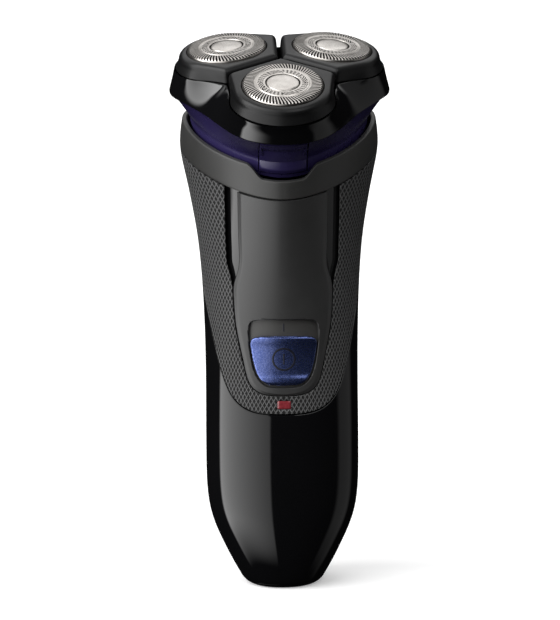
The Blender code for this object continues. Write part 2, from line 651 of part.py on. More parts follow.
def holes_at_units(obj, radius, low, high, reach=None):
    for name, turn in zip(UNIT_NAMES, (0, 120, 240)):
        x, y, _ = polar(reach or GEAR_REACH, turn, 0)
        cut(obj, cylinder(f"{obj.name}_hole_{name}", radius, low, high, None, HEAD, (x, y), sides=20))


def build_neck():
    steps = ((NECK_FOOT, 0.9), (RIM_LEVEL - 0.4, 0), (FLARE_LEVEL, 0), (-19, 0), (-17, 0), (-15, 0),
             (-13.2, 0), (NECK_TOP, 0.2))
    rings = []
    for a in NECK_ANGLES:
        outer = [polar(neck_reach(a, level, inset), a, level) for level, inset in steps]
        inner = [polar(neck_reach(a, level, NECK_WALL), a, level) for level, inset in steps]
        rings.append(outer + inner[::-1])
    neck = add_object("neck_shell", ring_mesh("neck_shell", rings, cyclic=True), "indigo", HEAD)
    cut(neck, box("button_window", (-6.8, -40, -24.7), (6.8, -12, -13.1), None, HEAD))
    for side in (-1, 1):
        low, high = sorted((side * 5.3, side * 8.4))
        lug = cylinder(f"neck_knuckle{side}", KNUCKLE_R, low, high, None, HEAD, HINGE, "X", 16)
        join(neck, lug, box(f"neck_lug{side}", (low + .1, 20.0, HINGE_LEVEL - 1.25),
                            (high - .1, HINGE_REACH, HINGE_LEVEL - 0.35), None, HEAD))
    cut(neck, cylinder("neck_hinge_bore", 0.8, -12, 12, None, HEAD, HINGE, "X", 12))


def build_neck_inside():
    outline = [polar(neck_reach(a, NECK_FLOOR, NECK_WALL + FIT), a, 0)[:2] for a in NECK_ANGLES]
    tray = plate("gear_tray", "white_resin", HEAD, outline, NECK_FLOOR, NECK_FLOOR + 1.0)
    for side in (-1, 1):
        low, high = sorted((side * 14.2, side * 16.8))
        join(tray, box(f"roll_lug{side}", (-2.6, low, -25.4), (2.6, high, NECK_FLOOR + 0.5), None, HEAD))
    cut(tray, cylinder("roll_bores", 1.4, -30, 30, None, HEAD, (0, PIVOT_LEVEL), "Y", 16),
        cylinder("cup_opening", 3.9, -22, -15, None, HEAD, sides=24),
        box("button_room", (-7.0, -40, -21), (7.0, -19.4, -17), None, HEAD))
    holes_at_units(tray, 1.25, -22, -17)
    outline = [polar(neck_reach(a, -13.7, NECK_WALL + FIT), a, 0)[:2] for a in NECK_ANGLES]
    cover = plate("gear_cover", "satin_black", HEAD, outline, -13.6, -12.7)
    holes_at_units(cover, 2.5, -15, -10)
    cut(cover, box("button_clearance", (-7.0, -40, -15), (7.0, -24.4, -10), None, HEAD))


def neck_point(x, level, inset):
    """Point of the neck's front at a given x."""
    angle = 0.0
    for _ in range(12):
        angle = math.degrees(math.asin(x / neck_reach(angle, level, inset)))
    return x, -neck_reach(angle, level, inset) * math.cos(math.radians(angle)), level


def build_release():
    """The button that frees the cutting head: a plate in the neck's window with a hollow for the thumb."""
    levels = (-24.4, -23.7, -22.2, -20.9, -20.2, -18.2, -16.0, -15.1, -13.4)
    proud = (-0.3, 0.1, 0.45, 0.5, 0.1, -0.25, -0.2, 0.25, 0.25)
    rings = []
    for x in (-6.5, -5.6, -3, 0, 3, 5.6, 6.5):
        edge = 0.25 if abs(x) > 6 else 0.0
        outer = [neck_point(x, level, edge - out) for level, out in zip(levels, proud)]
        inner = [neck_point(x, level, 1.3) for level in levels]
        rings.append(outer + inner[::-1])
    add_object("release_button", ring_mesh("release_button", rings), "indigo", HEAD)


# ---------------------------------------------------------------- opening head and its cutting units
FRAME_ANGLES = [60.0 * k + part for k in range(6) for part in (0, 8, 16, 24, 30, 36, 42, 48, 54, 57)]


def frame_point(angle, share, inset=0.0):
    """Point of the head frame's skirt: share 0 at the seam with the petals, 1 at its foot."""
    near = opening_reach(angle) + PETAL_CLEAR + 0.15
    reach = near + (skirt_reach(angle) - near) * share**0.75
    level = opening_level(angle) + (SKIRT_FOOT - opening_level(angle)) * share
    return polar(reach - inset, angle, level)


def build_frame():
    rings = []
    for a in FRAME_ANGLES:
        outer = [frame_point(a, s) for s in (0, 0.08, 0.25, 0.5, 0.75, 0.95)] + [frame_point(a, 1, 0.25)]
        inner = [frame_point(a, s, 1.5) for s in (1, 0.75, 0.5)]
        rings.append(outer + inner + [frame_point(a, 0.3, 0.8), frame_point(a, 0, 0.15)])
    frame = add_object("head_frame", ring_mesh("head_frame", rings, cyclic=True), "gloss_black", HEAD)
    for turn in (60, 180, 300):
        spoke = make_empty(f"rib_axis_{turn}", rotation=(0, 0, turn), parent=HEAD)
        reach = 19.6 if turn == 180 else 21.2
        join(frame, box(f"rib_{turn}", (-1.2, -reach, -10.2), (1.2, 0.5, -8.6), None, spoke))
    join(frame, cylinder("frame_knuckle", KNUCKLE_R, -4.9, 4.9, None, HEAD, HINGE, "X", 16),
         box("frame_lug", (-4.8, 20.6, HINGE_LEVEL + 0.25), (4.8, HINGE_REACH, HINGE_LEVEL + 1.2), None,
             HEAD))
    cut(frame, cylinder("frame_hinge_bore", 0.8, -12, 12, None, HEAD, HINGE, "X", 12))
    for side in (-1, 1):
        low, high = sorted((side * 5.05, side * 9))
        cut(frame, box(f"knuckle_room{side}", (low, 21.7, -14), (high, 27, -10.6), None, HEAD))
    cylinder("hinge_pin", 0.5, -8.3, 8.3, "steel", HEAD, HINGE, "X", 12)
    outline = [polar(math.hypot(*frame_point(a, 0.78, 1.5 + 2 * FIT)[:2]), a, 0)[:2] for a in FRAME_ANGLES]
    retainer = plate("cutter_retainer", "satin_black", HEAD, outline, -11.8, -10.9)
    holes_at_units(retainer, 8.0, -14, -8)
    cut(retainer, cylinder("retainer_centre", 4.0, -14, -8, None, HEAD, sides=20))


def unit_empty(name, turn):
    spoke = make_empty("unit_spoke_" + name, rotation=(0, 0, turn), parent=HEAD)
    return make_empty("unit_axis_" + name, (0, -UNIT_REACH, 0), (UNIT_TILT, 0, 0), spoke)


def petal_draft(angle):
    """How much the petal's wall leans in at its foot: more beside the gap, where the petals close up."""
    away = abs((angle + 180) % 360 - 180)
    return 0.1 + 0.9 * min(max((away - 96) / 22, 0.0), 1.0)


def build_petal(name, unit):
    cx, cy = petal_corner()
    corner = math.degrees(math.atan2(cx, -cy))
    half = [0, 12, 24, 36, 48, 60, 70, 80, 90, 100, 109, corner - 2.5, corner + 2.5, 128, 138, 150, 160, 170]
    rings = []
    for a in half + [180] + [360 - h for h in reversed(half[1:])]:
        lean = petal_draft(a)
        wide = petal_bulge(a)
        outline = ((-0.9, None), (-1.0, 1.6), (-1.6, 0.55), (-2.8, -0.2 * wide), (SEAM_Z + 0.2, -wide),
                   (SEAM_Z, lean * 0.5 - 0.8 * wide), (PETAL_FOOT, lean),
                   (PETAL_FOOT, lean + 1.1), (-2.8, lean + 1.1), (-2.3, None))
        points = []
        for z, inset in outline:
            reach = FOIL_HOLE_R if inset is None else max(petal_reach(a, inset), FOIL_HOLE_R + 0.12)
            points.append(polar(reach, a, z))
        rings.append(points)
    add_object("petal_" + name, ring_mesh("petal_" + name, rings, cyclic=True), "satin_black", unit)


def build_unit(name, turn):
    unit = unit_empty(name, turn)
    build_petal(name, unit)
    foil = ((4.7, 0.0), (10.2, 0.0), (10.8, -0.3), (FOIL_R, -0.9), (FOIL_R, -2.7), (11.6, -2.8),
            (11.6, -3.5), (10.4, -3.5), (10.4, -0.8), (4.7, -0.8))
    turned("foil_" + name, foil, "steel", unit, steps=32)
    turned("foil_disc_" + name, ((0, 0.3), (3.7, 0.3), (4.4, 0.05), (4.4, -0.8), (0, -0.8)), "steel", unit)
    turned("cutter_" + name, ((5.4, -1.1), (9.9, -1.1), (9.9, -2.0), (5.4, -2.0)), "steel", unit)
    turned("cutter_hub_" + name, ((0, -2.3), (9.4, -2.3), (9.4, -3.0), (3.6, -3.3), (3.3, -7.6), (2.4, -7.6),
                                  (2.3, -4.2), (0, -4.2)), "white_resin", unit, steps=20)


build_shells()
build_base()
build_grip()
build_panel_and_switch()
build_collar()
build_inside()
build_deck()
build_drive()
build_gears()
build_neck()
build_neck_inside()
build_release()
build_frame()
for unit_name, unit_turn in zip(UNIT_NAMES, (0, 120, 240)):
    build_unit(unit_name, unit_turn)
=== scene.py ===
"""Looks of a cordless rotary shaver with three floating cutting units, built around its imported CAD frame.

The frame is in metres, +Z up, the front towards -Y. Dimensions here are millimetres, scaled by MM where
a mesh is made. Handle parts are modelled about the handle's axis and cutting units about their own. Head
parts are modelled in the head frame, whose origin is the centre of the shaving plane and whose Z leans
forward by HEAD_TILT.
"""

from math import acos, asin, atan2, copysign, cos, degrees, exp, hypot, pi, radians, sin, sqrt

import bmesh
import bpy
import numpy as np
from mathutils import Matrix, Vector


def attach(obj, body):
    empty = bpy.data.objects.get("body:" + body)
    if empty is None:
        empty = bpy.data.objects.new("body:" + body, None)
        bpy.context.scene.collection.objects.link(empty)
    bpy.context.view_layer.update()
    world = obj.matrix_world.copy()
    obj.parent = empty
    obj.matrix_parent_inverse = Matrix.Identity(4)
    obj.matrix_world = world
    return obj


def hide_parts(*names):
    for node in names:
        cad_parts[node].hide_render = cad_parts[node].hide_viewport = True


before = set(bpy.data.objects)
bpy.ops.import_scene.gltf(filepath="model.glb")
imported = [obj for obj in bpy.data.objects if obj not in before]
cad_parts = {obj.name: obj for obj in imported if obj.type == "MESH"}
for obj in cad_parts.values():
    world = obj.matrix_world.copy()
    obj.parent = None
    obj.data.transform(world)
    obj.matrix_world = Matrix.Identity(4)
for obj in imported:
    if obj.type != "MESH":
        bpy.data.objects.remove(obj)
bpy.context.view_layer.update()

MM = 0.001

# ------------------------------ dimensions shared with the frame
BODY_Y = 7.77
HEAD_TILT = 20.5
HEAD_Y, HEAD_Z = -9.4, 149.0
HALF_WIDTH = ((0, 10.6), (6, 14.0), (12, 16.95), (17, 19.1), (22, 20.55), (28, 21.3), (36, 21.5), (60, 21.4),
              (76, 21.65), (90, 22.4), (100, 23.5), (108, 24.9), (114, 26.1), (120, 27.4), (124, 27.9),
              (129, 27.6), (134, 26.8), (140, 25.5))
FRONT = ((0, -12.2), (5, -14.2), (15, -16.6), (30, -18.3), (60, -19.0), (85, -20.0), (100, -22.2),
         (110, -24.2), (118, -25.8), (140, -28.0))
BACK = ((0, 11.6), (5, 13.2), (15, 15.6), (30, 17.2), (60, 18.2), (85, 19.2), (100, 20.4), (115, 21.0),
        (128, 20.2), (140, 18.2))
WIDEST_Y = ((0, 0.0), (80, 0.0), (110, 5.5), (122, 7.0), (140, 7.0))
FRONT_POWER = ((0, 2.2), (70, 2.2), (110, 1.62), (140, 1.55))
BACK_POWER = ((0, 2.2), (140, 2.5))
BASE_FILLET = 2.0
RIM_LEVEL, SEAM_LEVEL = -22.0, -30.4
COLLAR_WALL, NECK_GAP, FLARE_LEVEL = 1.4, 1.0, -21.0
NOTCH_DEPTH, NOTCH_TOP, NOTCH_FOOT = 3.2, 9.2, 5.9
NECK_TOP, NECK_FOOT = -12.5, -25.8
SKIRT_FOOT = -12.2
HINGE_LEVEL, HINGE_REACH, KNUCKLE_R = -12.35, 23.6, 1.3
UNIT_REACH, UNIT_TILT = 17.0, 6.0
FOIL_HOLE_R = 11.3
PETAL_R, CORNER_REACH, GAP_HALF = 13.3, 17.3, 0.8
PETAL_FOOT, SEAM_Z, BULGE, PETAL_CLEAR = -7.0, -5.2, 1.3, 0.42
SKIRT_PLAN = ((0, 30.9), (10, 30.6), (20, 29.4), (30, 27.5), (40, 25.6), (50, 24.4), (60, 23.9), (68, 24.3),
              (77, 25.6), (86, 27.9), (93, 30.1), (102, 31.4), (110, 31.9), (120, 31.8), (135, 29.2),
              (150, 25.0), (165, 22.6), (180, 21.9))
UNITS = (("front", 0), ("right", 120), ("left", 240))
TONGUE = ((56.2, 0.0), (56.5, 4.6), (57.6, 7.6), (59.8, 9.5), (62.5, 10.4), (66.2, 11.2), (71, 12.2),
          (77, 13.2), (83, 13.6), (87, 13.5), (92, 12.2), (97, 12.1), (112, 12.4), (124, 12.6))
GRIP_EDGE = ((0, 50.8), (32, 53.6), (45, 58.5), (58, 67.5), (72, 78.5), (90, 88.0), (120, 95.0), (150, 99.0),
             (180, 100.0))
TONGUE_FOOT = TONGUE[0][0]
LENS_Z = 53.6

# ------------------------------ dimensions of the looks
SEAM = 0.12  # width of the fine lines between visible pieces
CHANNEL = 3.2  # width of the black channel beside the upper panel
CHANNEL_RISE = (85.5, 93.5)  # heights between which the channel opens

# Camera: the handle stands upright and is seen slightly from above, through a long lens.
VIEW_DISTANCE, VIEW_RISE, VIEW_TURN, VIEW_ROLL = 800.0, 8.0, -2.0, 0.4
VIEW_TARGET_X, VIEW_TARGET_Z, LENS_MM = -0.3, 77.5, 164.9
FLOOR_HALF = 20000.0
AMBIENT = 0.004  # light from the parts of the sky outside its soft boxes


# ------------------------------ curves
class Spline:
    """Natural cubic spline through (position, value) pairs, held level beyond its ends."""

    def __init__(self, pairs):
        x, y = np.array(pairs, float).T
        n, h = len(x), np.diff(x)
        system, right = np.eye(n), np.zeros(n)
        for i in range(1, n - 1):
            system[i, i - 1:i + 2] = h[i - 1], 2 * (h[i - 1] + h[i]), h[i]
            right[i] = 6 * ((y[i + 1] - y[i]) / h[i] - (y[i] - y[i - 1]) / h[i - 1])
        self.x, self.y, self.bend = x, y, np.linalg.solve(system, right)

    def __call__(self, t):
        t = min(max(t, self.x[0]), self.x[-1])
        i = min(max(int(np.searchsorted(self.x, t)) - 1, 0), len(self.x) - 2)
        h = self.x[i + 1] - self.x[i]
        a, b = (self.x[i + 1] - t) / h, (t - self.x[i]) / h
        curve = ((a**3 - a) * self.bend[i] + (b**3 - b) * self.bend[i + 1]) * h * h / 6
        return float(a * self.y[i] + b * self.y[i + 1] + curve)


half_width, front_line, back_line = Spline(HALF_WIDTH), Spline(FRONT), Spline(BACK)
widest_line, front_power, back_power = Spline(WIDEST_Y), Spline(FRONT_POWER), Spline(BACK_POWER)
grip_edge_line, skirt_plan = Spline(GRIP_EDGE), Spline(SKIRT_PLAN)


def step(low, high, value):
    """Smooth step from 0 at low to 1 at high."""
    t = min(max((value - low) / (high - low), 0.0), 1.0)
    return t * t * (3 - 2 * t)


def folded(angle):
    return abs((angle + 180) % 360 - 180)


def rounded_edge(away, radius):
    """Drop of a rounded edge at a distance from the outline."""
    return radius * (1 - sqrt(max(1 - (1 - min(away / radius, 1.0)) ** 2, 0.0)))


# ------------------------------ the handle's surface
def outline_at(turn, z):
    s, c = sin(radians(turn)), cos(radians(turn))
    half, widest = half_width(z), widest_line(z)
    power = front_power(z) if c >= 0 else back_power(z)
    across = abs(s) ** (2 / power)
    x = copysign(half * across, s)
    if c < 0:
        return x, widest + (back_line(z) - widest) * max(1 - across**power, 0.0) ** (1 / power)
    return x, front_depth(across, z)


def handle_point(turn, z, inset=0.0):
    """Point on the handle at height z. Turn is 0 at the front, 90 at +X and 180 at the back."""
    inset += BASE_FILLET - sqrt(max(BASE_FILLET**2 - max(BASE_FILLET - z, 0.0) ** 2, 0.0))
    x, y = outline_at(turn, z)
    (x0, y0), (x1, y1) = outline_at(turn - 0.8, z), outline_at(turn + 0.8, z)
    length = hypot(x1 - x0, y1 - y0)
    return x - inset * (y1 - y0) / length, y + inset * (x1 - x0) / length, z


def front_depth(across, z):
    """Y of the handle's front at a share of its half width."""
    power, widest = front_power(z), widest_line(z)
    crown = 0.10 * max(2 - power, 0.0)  # rounds the front's ridge where the section is nearly a triangle
    across = (hypot(across, crown) - crown) / (hypot(1, crown) - crown)
    return widest - (widest - front_line(z)) * max(1 - across**power, 0.0) ** (1 / power)


def front_y(x, z):
    return front_depth(min(abs(x) / half_width(z), 1.0), z)


def level_height(y, level):
    tilt = radians(HEAD_TILT)
    return HEAD_Z + (level + (y - HEAD_Y) * sin(tilt)) / cos(tilt)


def at_level(turn, level, inset=0.0, drop=None):
    """Point of the handle on a level plane of the head. drop(x) lowers it, as at a notch."""
    z = level_height(0.0, level)
    for _ in range(9):
        x, y, _z = handle_point(turn, z, inset)
        z = level_height(y, level - (drop(x) if drop and folded(turn) < 90 else 0.0))
    return x, y, z


def to_head(point):
    tilt = radians(HEAD_TILT)
    y, z = point[1] - HEAD_Y, point[2] - HEAD_Z
    return point[0], y * cos(tilt) + z * sin(tilt), z * cos(tilt) - y * sin(tilt)


def grip_edge(turn):
    return grip_edge_line(folded(turn))


def notch(x):
    """Depth of the notch in the front of the collar's rim."""
    return NOTCH_DEPTH * step(NOTCH_TOP + 0.6, NOTCH_FOOT - 0.6, abs(x))


# ------------------------------ the head's outlines
def polar(reach, angle, level):
    a = radians(angle)
    return reach * sin(a), -reach * cos(a), level


def petal_corner():
    x = CORNER_REACH * sin(radians(60)) - 0.5 * GAP_HALF
    y = UNIT_REACH - CORNER_REACH * cos(radians(60)) - sin(radians(60)) * GAP_HALF
    return x, y


CORNER = petal_corner()
CORNER_FAR = hypot(*CORNER)
CORNER_ANGLE = degrees(atan2(CORNER[0], -CORNER[1]))
TANGENT_ANGLE = CORNER_ANGLE - degrees(acos(PETAL_R / CORNER_FAR))


def petal_reach(angle, inset=0.0):
    """Distance from a cutting unit's axis to its petal's edge: 0 is outwards and 180 the head's axis."""
    angle = folded(angle)
    if angle <= TANGENT_ANGLE:
        return PETAL_R - inset
    straight = (PETAL_R - inset) / cos(radians(angle - TANGENT_ANGLE)) if angle < 150 else 99.0
    edge = UNIT_REACH * sin(radians(60)) - GAP_HALF - inset
    beside_gap = edge / cos(radians(angle - 150)) if angle > 90 else 99.0
    softness = 0.25
    low = min(straight, beside_gap)
    if abs(straight - beside_gap) < 6:
        low -= softness * exp(-abs(straight - beside_gap) / (2 * softness))
    return low


def petal_bulge(angle):
    """How far the petal's wall spreads between its shoulder and the seam, away from the gaps."""
    return BULGE * step(114, 70, folded(angle))


def seam_table():
    """(head angle, reach, level) along half of a petal's outline at the seam."""
    tilt, table = radians(UNIT_TILT), []
    for a in (CORNER_ANGLE * k / 90 for k in range(91)):
        x, y, z = polar(petal_reach(a, -petal_bulge(a)), a, SEAM_Z)
        y, z = y * cos(tilt) - z * sin(tilt) - UNIT_REACH, y * sin(tilt) + z * cos(tilt)
        table.append((degrees(atan2(x, -y)), hypot(x, y), z))
    return np.array(table).T


SEAM_TABLE = seam_table()


def opening(angle):
    """Reach and level of the seam between the petals and the skirt, at an angle of the head."""
    lobe = abs((angle + 60) % 120 - 60)
    return [float(np.interp(lobe, SEAM_TABLE[0], row)) for row in SEAM_TABLE[1:]]


# ------------------------------ placing
AT_HANDLE = Matrix.Translation(Vector((0, BODY_Y, 0)) * MM)
AT_HEAD = Matrix.Translation(Vector((0, BODY_Y + HEAD_Y, HEAD_Z)) * MM) @ Matrix.Rotation(
    radians(HEAD_TILT), 4, "X")


def at_unit(turn):
    out = Matrix.Rotation(radians(turn), 4, "Z")
    lean = Matrix.Rotation(radians(UNIT_TILT), 4, "X")
    return AT_HEAD @ out @ Matrix.Translation(Vector((0, -UNIT_REACH, 0)) * MM) @ lean


# ------------------------------ mesh helpers
def mesh_piece(name, points, faces, material, place, smooth_below=40):
    mesh = bpy.data.meshes.new(name)
    mesh.from_pydata([tuple(c * MM for c in p) for p in points], [], faces)
    mesh.transform(place)
    mesh.materials.append(material)
    mesh.shade_smooth()
    mesh.set_sharp_from_angle(angle=radians(smooth_below))
    obj = bpy.data.objects.new(name, mesh)
    bpy.context.scene.collection.objects.link(obj)
    return obj


def grid_faces(rows, columns, close_rows=False, close_columns=False):
    faces = []
    for i in range(rows if close_rows else rows - 1):
        for j in range(columns if close_columns else columns - 1):
            a, b = i * columns + j, i * columns + (j + 1) % columns
            c, d = ((i + 1) % rows) * columns + (j + 1) % columns, ((i + 1) % rows) * columns + j
            faces.append((a, b, c, d))
    return faces


def grid_piece(name, rows, material, place, close_rows=False, close_columns=False, caps=False):
    """A skin over rows of points. Its faces are turned outwards."""
    columns = len(rows[0])
    faces = grid_faces(len(rows), columns, close_rows, close_columns)
    if caps:
        faces.append(tuple(range(columns)))
        faces.append(tuple(range((len(rows) - 1) * columns, len(rows) * columns)))
    return outward(mesh_piece(name, [p for row in rows for p in row], faces, material, place))


def ring_piece(name, rows, material, place=AT_HANDLE):
    """A skin closed both ways, like a tube bent into a ring."""
    return grid_piece(name, rows, material, place, close_rows=True, close_columns=True)


def capped_piece(name, rows, material, place=AT_HANDLE):
    """A tube with its two ends closed."""
    return grid_piece(name, rows, material, place, close_columns=True, caps=True)


def outward(obj):
    bm = bmesh.new()
    bm.from_mesh(obj.data)
    bmesh.ops.recalc_face_normals(bm, faces=bm.faces)
    bm.to_mesh(obj.data)
    bm.free()
    return obj


def apply_modifiers(obj):
    graph = bpy.context.evaluated_depsgraph_get()
    mesh = bpy.data.meshes.new_from_object(obj.evaluated_get(graph))
    obj.modifiers.clear()
    obj.data = mesh
    return obj


def boolean(obj, cutter, operation="DIFFERENCE"):
    modifier = obj.modifiers.new("cut", "BOOLEAN")
    modifier.operation, modifier.object, modifier.solver = operation, cutter, "EXACT"
    apply_modifiers(obj)
    bpy.data.objects.remove(cutter, do_unlink=True)
    return obj


def prism(outline, y_high=0):
    """A cutting solid from (x, z) points of the handle, drawn out along Y."""
    rows = [[(x, y, z) for x, z in outline] for y in (-45, y_high)]
    return capped_piece("cutter", rows, bpy.data.materials[0])


def turned_piece(name, profile, material, place, count=96, open_profile=False):
    """A turned piece from (radius, height) pairs."""
    rows = []
    for i in range(count):
        a = 2 * pi * i / count
        rows.append([(r * cos(a), r * sin(a), h) for r, h in profile])
    return grid_piece(name, rows, material, place, close_rows=True, close_columns=not open_profile)


def settle(obj, body, slot, *nodes):
    """Rides the piece on its body and hides the CAD nodes that it stands for. The slot is not used."""
    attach(obj, body)
    if nodes:
        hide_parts(*nodes)
    return obj


# ------------------------------ node helpers
class Graph:
    """Short calls for building a node tree."""

    def __init__(self, tree):
        self.tree = tree

    def add(self, kind, **settings):
        node = self.tree.nodes.new(kind)
        for key, value in settings.items():
            setattr(node, key, value)
        return node

    def put(self, socket, value):
        if isinstance(value, bpy.types.NodeSocket):
            self.tree.links.new(value, socket)
        else:
            socket.default_value = value

    def where(self):
        return self.add("ShaderNodeTexCoord").outputs["Object"]

    def math(self, operation, a, b=0.0):
        node = self.add("ShaderNodeMath", operation=operation)
        self.put(node.inputs[0], a)
        self.put(node.inputs[1], b)
        return node.outputs[0]

    def times(self, a, b):
        return self.math("MULTIPLY", a, b)

    def plus(self, a, b):
        return self.math("ADD", a, b)

    def ramp(self, value, low, high, out_low=0.0, out_high=1.0, soft=True):
        node = self.add("ShaderNodeMapRange", interpolation_type="SMOOTHSTEP" if soft else "LINEAR")
        for socket, v in zip(node.inputs, (value, low, high, out_low, out_high)):
            self.put(socket, v)
        return node.outputs[0]

    def blend(self, share, a, b):
        node = self.add("ShaderNodeMix", data_type="RGBA")
        self.put(node.inputs[0], share)
        self.put(node.inputs[6], a)
        self.put(node.inputs[7], b)
        return node.outputs[2]

    def noise(self, vector, scale, detail=3.0, rough=0.5):
        node = self.add("ShaderNodeTexNoise")
        self.put(node.inputs["Vector"], vector)
        self.put(node.inputs["Scale"], scale)
        self.put(node.inputs["Detail"], detail)
        self.put(node.inputs["Roughness"], rough)
        return node.outputs["Fac"]

    def bump(self, height, strength, distance, normal=None):
        node = self.add("ShaderNodeBump")
        self.put(node.inputs["Strength"], strength)
        self.put(node.inputs["Distance"], distance)
        self.put(node.inputs["Height"], height)
        if normal is not None:
            self.put(node.inputs["Normal"], normal)
        return node.outputs[0]


def new_material(name, colour, roughness, metallic=0.0, specular=0.5, coat=0.0, coat_roughness=0.1):
    material = bpy.data.materials.new(name)
    material.use_nodes = True
    shader = material.node_tree.nodes["Principled BSDF"]
    for socket, value in (("Base Color", (*colour, 1.0)), ("Roughness", roughness), ("Metallic", metallic),
                          ("Specular IOR Level", specular), ("Coat Weight", coat),
                          ("Coat Roughness", coat_roughness)):
        shader.inputs[socket].default_value = value
    return material, Graph(material.node_tree), shader


def dress(g, shader, base, roughness=None, normal=None):
    """Links what varies over the surface into the shader."""
    for socket, value in (("Base Color", base), ("Roughness", roughness), ("Normal", normal)):
        if value is not None:
            g.put(shader.inputs[socket], value)


def colour(*rgb):
    return (*rgb, 1.0)


def moulded(name, base, roughness, spread, grain_scale, grain_depth, specular=0.5, metallic=0.0):
    """Moulded plastic: slow colour and roughness variation and a fine grain in its surface."""
    material, g, shader = new_material(name, base, roughness, metallic, specular)
    where = g.where()
    slow = g.noise(where, 90.0, 4.0, 0.6)
    darker = colour(*(c * 0.86 for c in base))
    lighter = colour(*(c * 1.16 for c in base))
    dress(g, shader, g.blend(slow, darker, lighter),
          g.ramp(slow, 0.3, 0.7, roughness - spread, roughness + spread, False))
    if grain_depth:
        fine = g.noise(where, grain_scale, 2.0, 0.5)
        g.put(shader.inputs["Normal"], g.bump(fine, 1.0, grain_depth * MM))
    return material


KNURL_ACROSS, KNURL_UP = 1.16, 2.1  # pitch of the diamonds round the grip and up it


def knurled_rubber():
    """Black rubber with rows of slim diamonds: U runs round the handle and V up it, in millimetres."""
    material, g, shader = new_material("rubber_diamond", (0.04, 0.04, 0.041), 0.5, 0.0, 0.45)
    uv = g.add("ShaderNodeSeparateXYZ")
    g.put(uv.inputs[0], g.add("ShaderNodeUVMap", uv_map="arc").outputs[0])
    across = g.math("DIVIDE", uv.outputs[0], KNURL_ACROSS)
    up = g.math("DIVIDE", uv.outputs[1], KNURL_UP)
    first = g.math("PINGPONG", g.plus(across, up), 0.5)
    second = g.math("PINGPONG", g.math("SUBTRACT", across, up), 0.5)
    ridge = g.math("MINIMUM", first, second)  # 0 on the crossing ridges, 0.5 in the middle of a pit
    pit_shade = g.ramp(ridge, 0.05, 0.24)
    grain = g.noise(g.where(), 2600.0, 2.0)
    height = g.plus(g.times(pit_shade, -0.30), g.times(grain, 0.02))
    # The ridges are painted lighter and the pits near black: painted highlight on the ridges and painted
    # shade in the pits.
    dress(g, shader, g.blend(pit_shade, colour(0.10, 0.10, 0.101), colour(0.004, 0.004, 0.004)),
          g.ramp(pit_shade, 0, 1, 0.46, 0.8, False), g.bump(height, 1.0, MM))
    return material


def brushed_foil():
    """Rolled steel with circular brushing about the foil's own axis, held in its generated UV map."""
    material, g, shader = new_material("foil_steel", (0.70, 0.67, 0.64), 0.3, 1.0)
    uv = g.add("ShaderNodeUVMap", uv_map="polar").outputs[0]
    stretch = g.add("ShaderNodeMapping")
    stretch.inputs["Scale"].default_value = (9.0, 0.6, 1.0)
    g.put(stretch.inputs["Vector"], uv)
    rings = g.noise(stretch.outputs[0], 3.0, 4.0, 0.65)
    stain = g.noise(g.where(), 240.0, 4.0, 0.6)
    shade = g.plus(g.times(rings, 0.5), g.times(stain, 0.5))
    dress(g, shader, g.blend(g.ramp(shade, 0.3, 0.7), colour(0.40, 0.375, 0.35), colour(0.72, 0.69, 0.655)),
          g.ramp(rings, 0.3, 0.7, 0.22, 0.4, False), g.bump(rings, 0.35, 0.02 * MM))
    return material


def metallic_blue():
    """Blue metallic lacquer with fine flakes."""
    material, g, shader = new_material("switch_lacquer", (0.1, 0.14, 0.34), 0.24, 0.9, 0.5, 0.3, 0.12)
    flakes = g.add("ShaderNodeTexVoronoi")
    g.put(flakes.inputs["Vector"], g.where())
    g.put(flakes.inputs["Scale"], 5200.0)
    flake = g.add("ShaderNodeSeparateColor")
    g.put(flake.inputs[0], flakes.outputs["Color"])
    lacquer = g.blend(g.ramp(flake.outputs[0], 0.2, 1.0), colour(0.055, 0.085, 0.26),
                      colour(0.13, 0.17, 0.40))
    dress(g, shader, lacquer, g.ramp(flake.outputs[1], 0, 1, 0.20, 0.30, False),
          g.bump(flake.outputs[2], 0.12, 0.05 * MM))
    return material


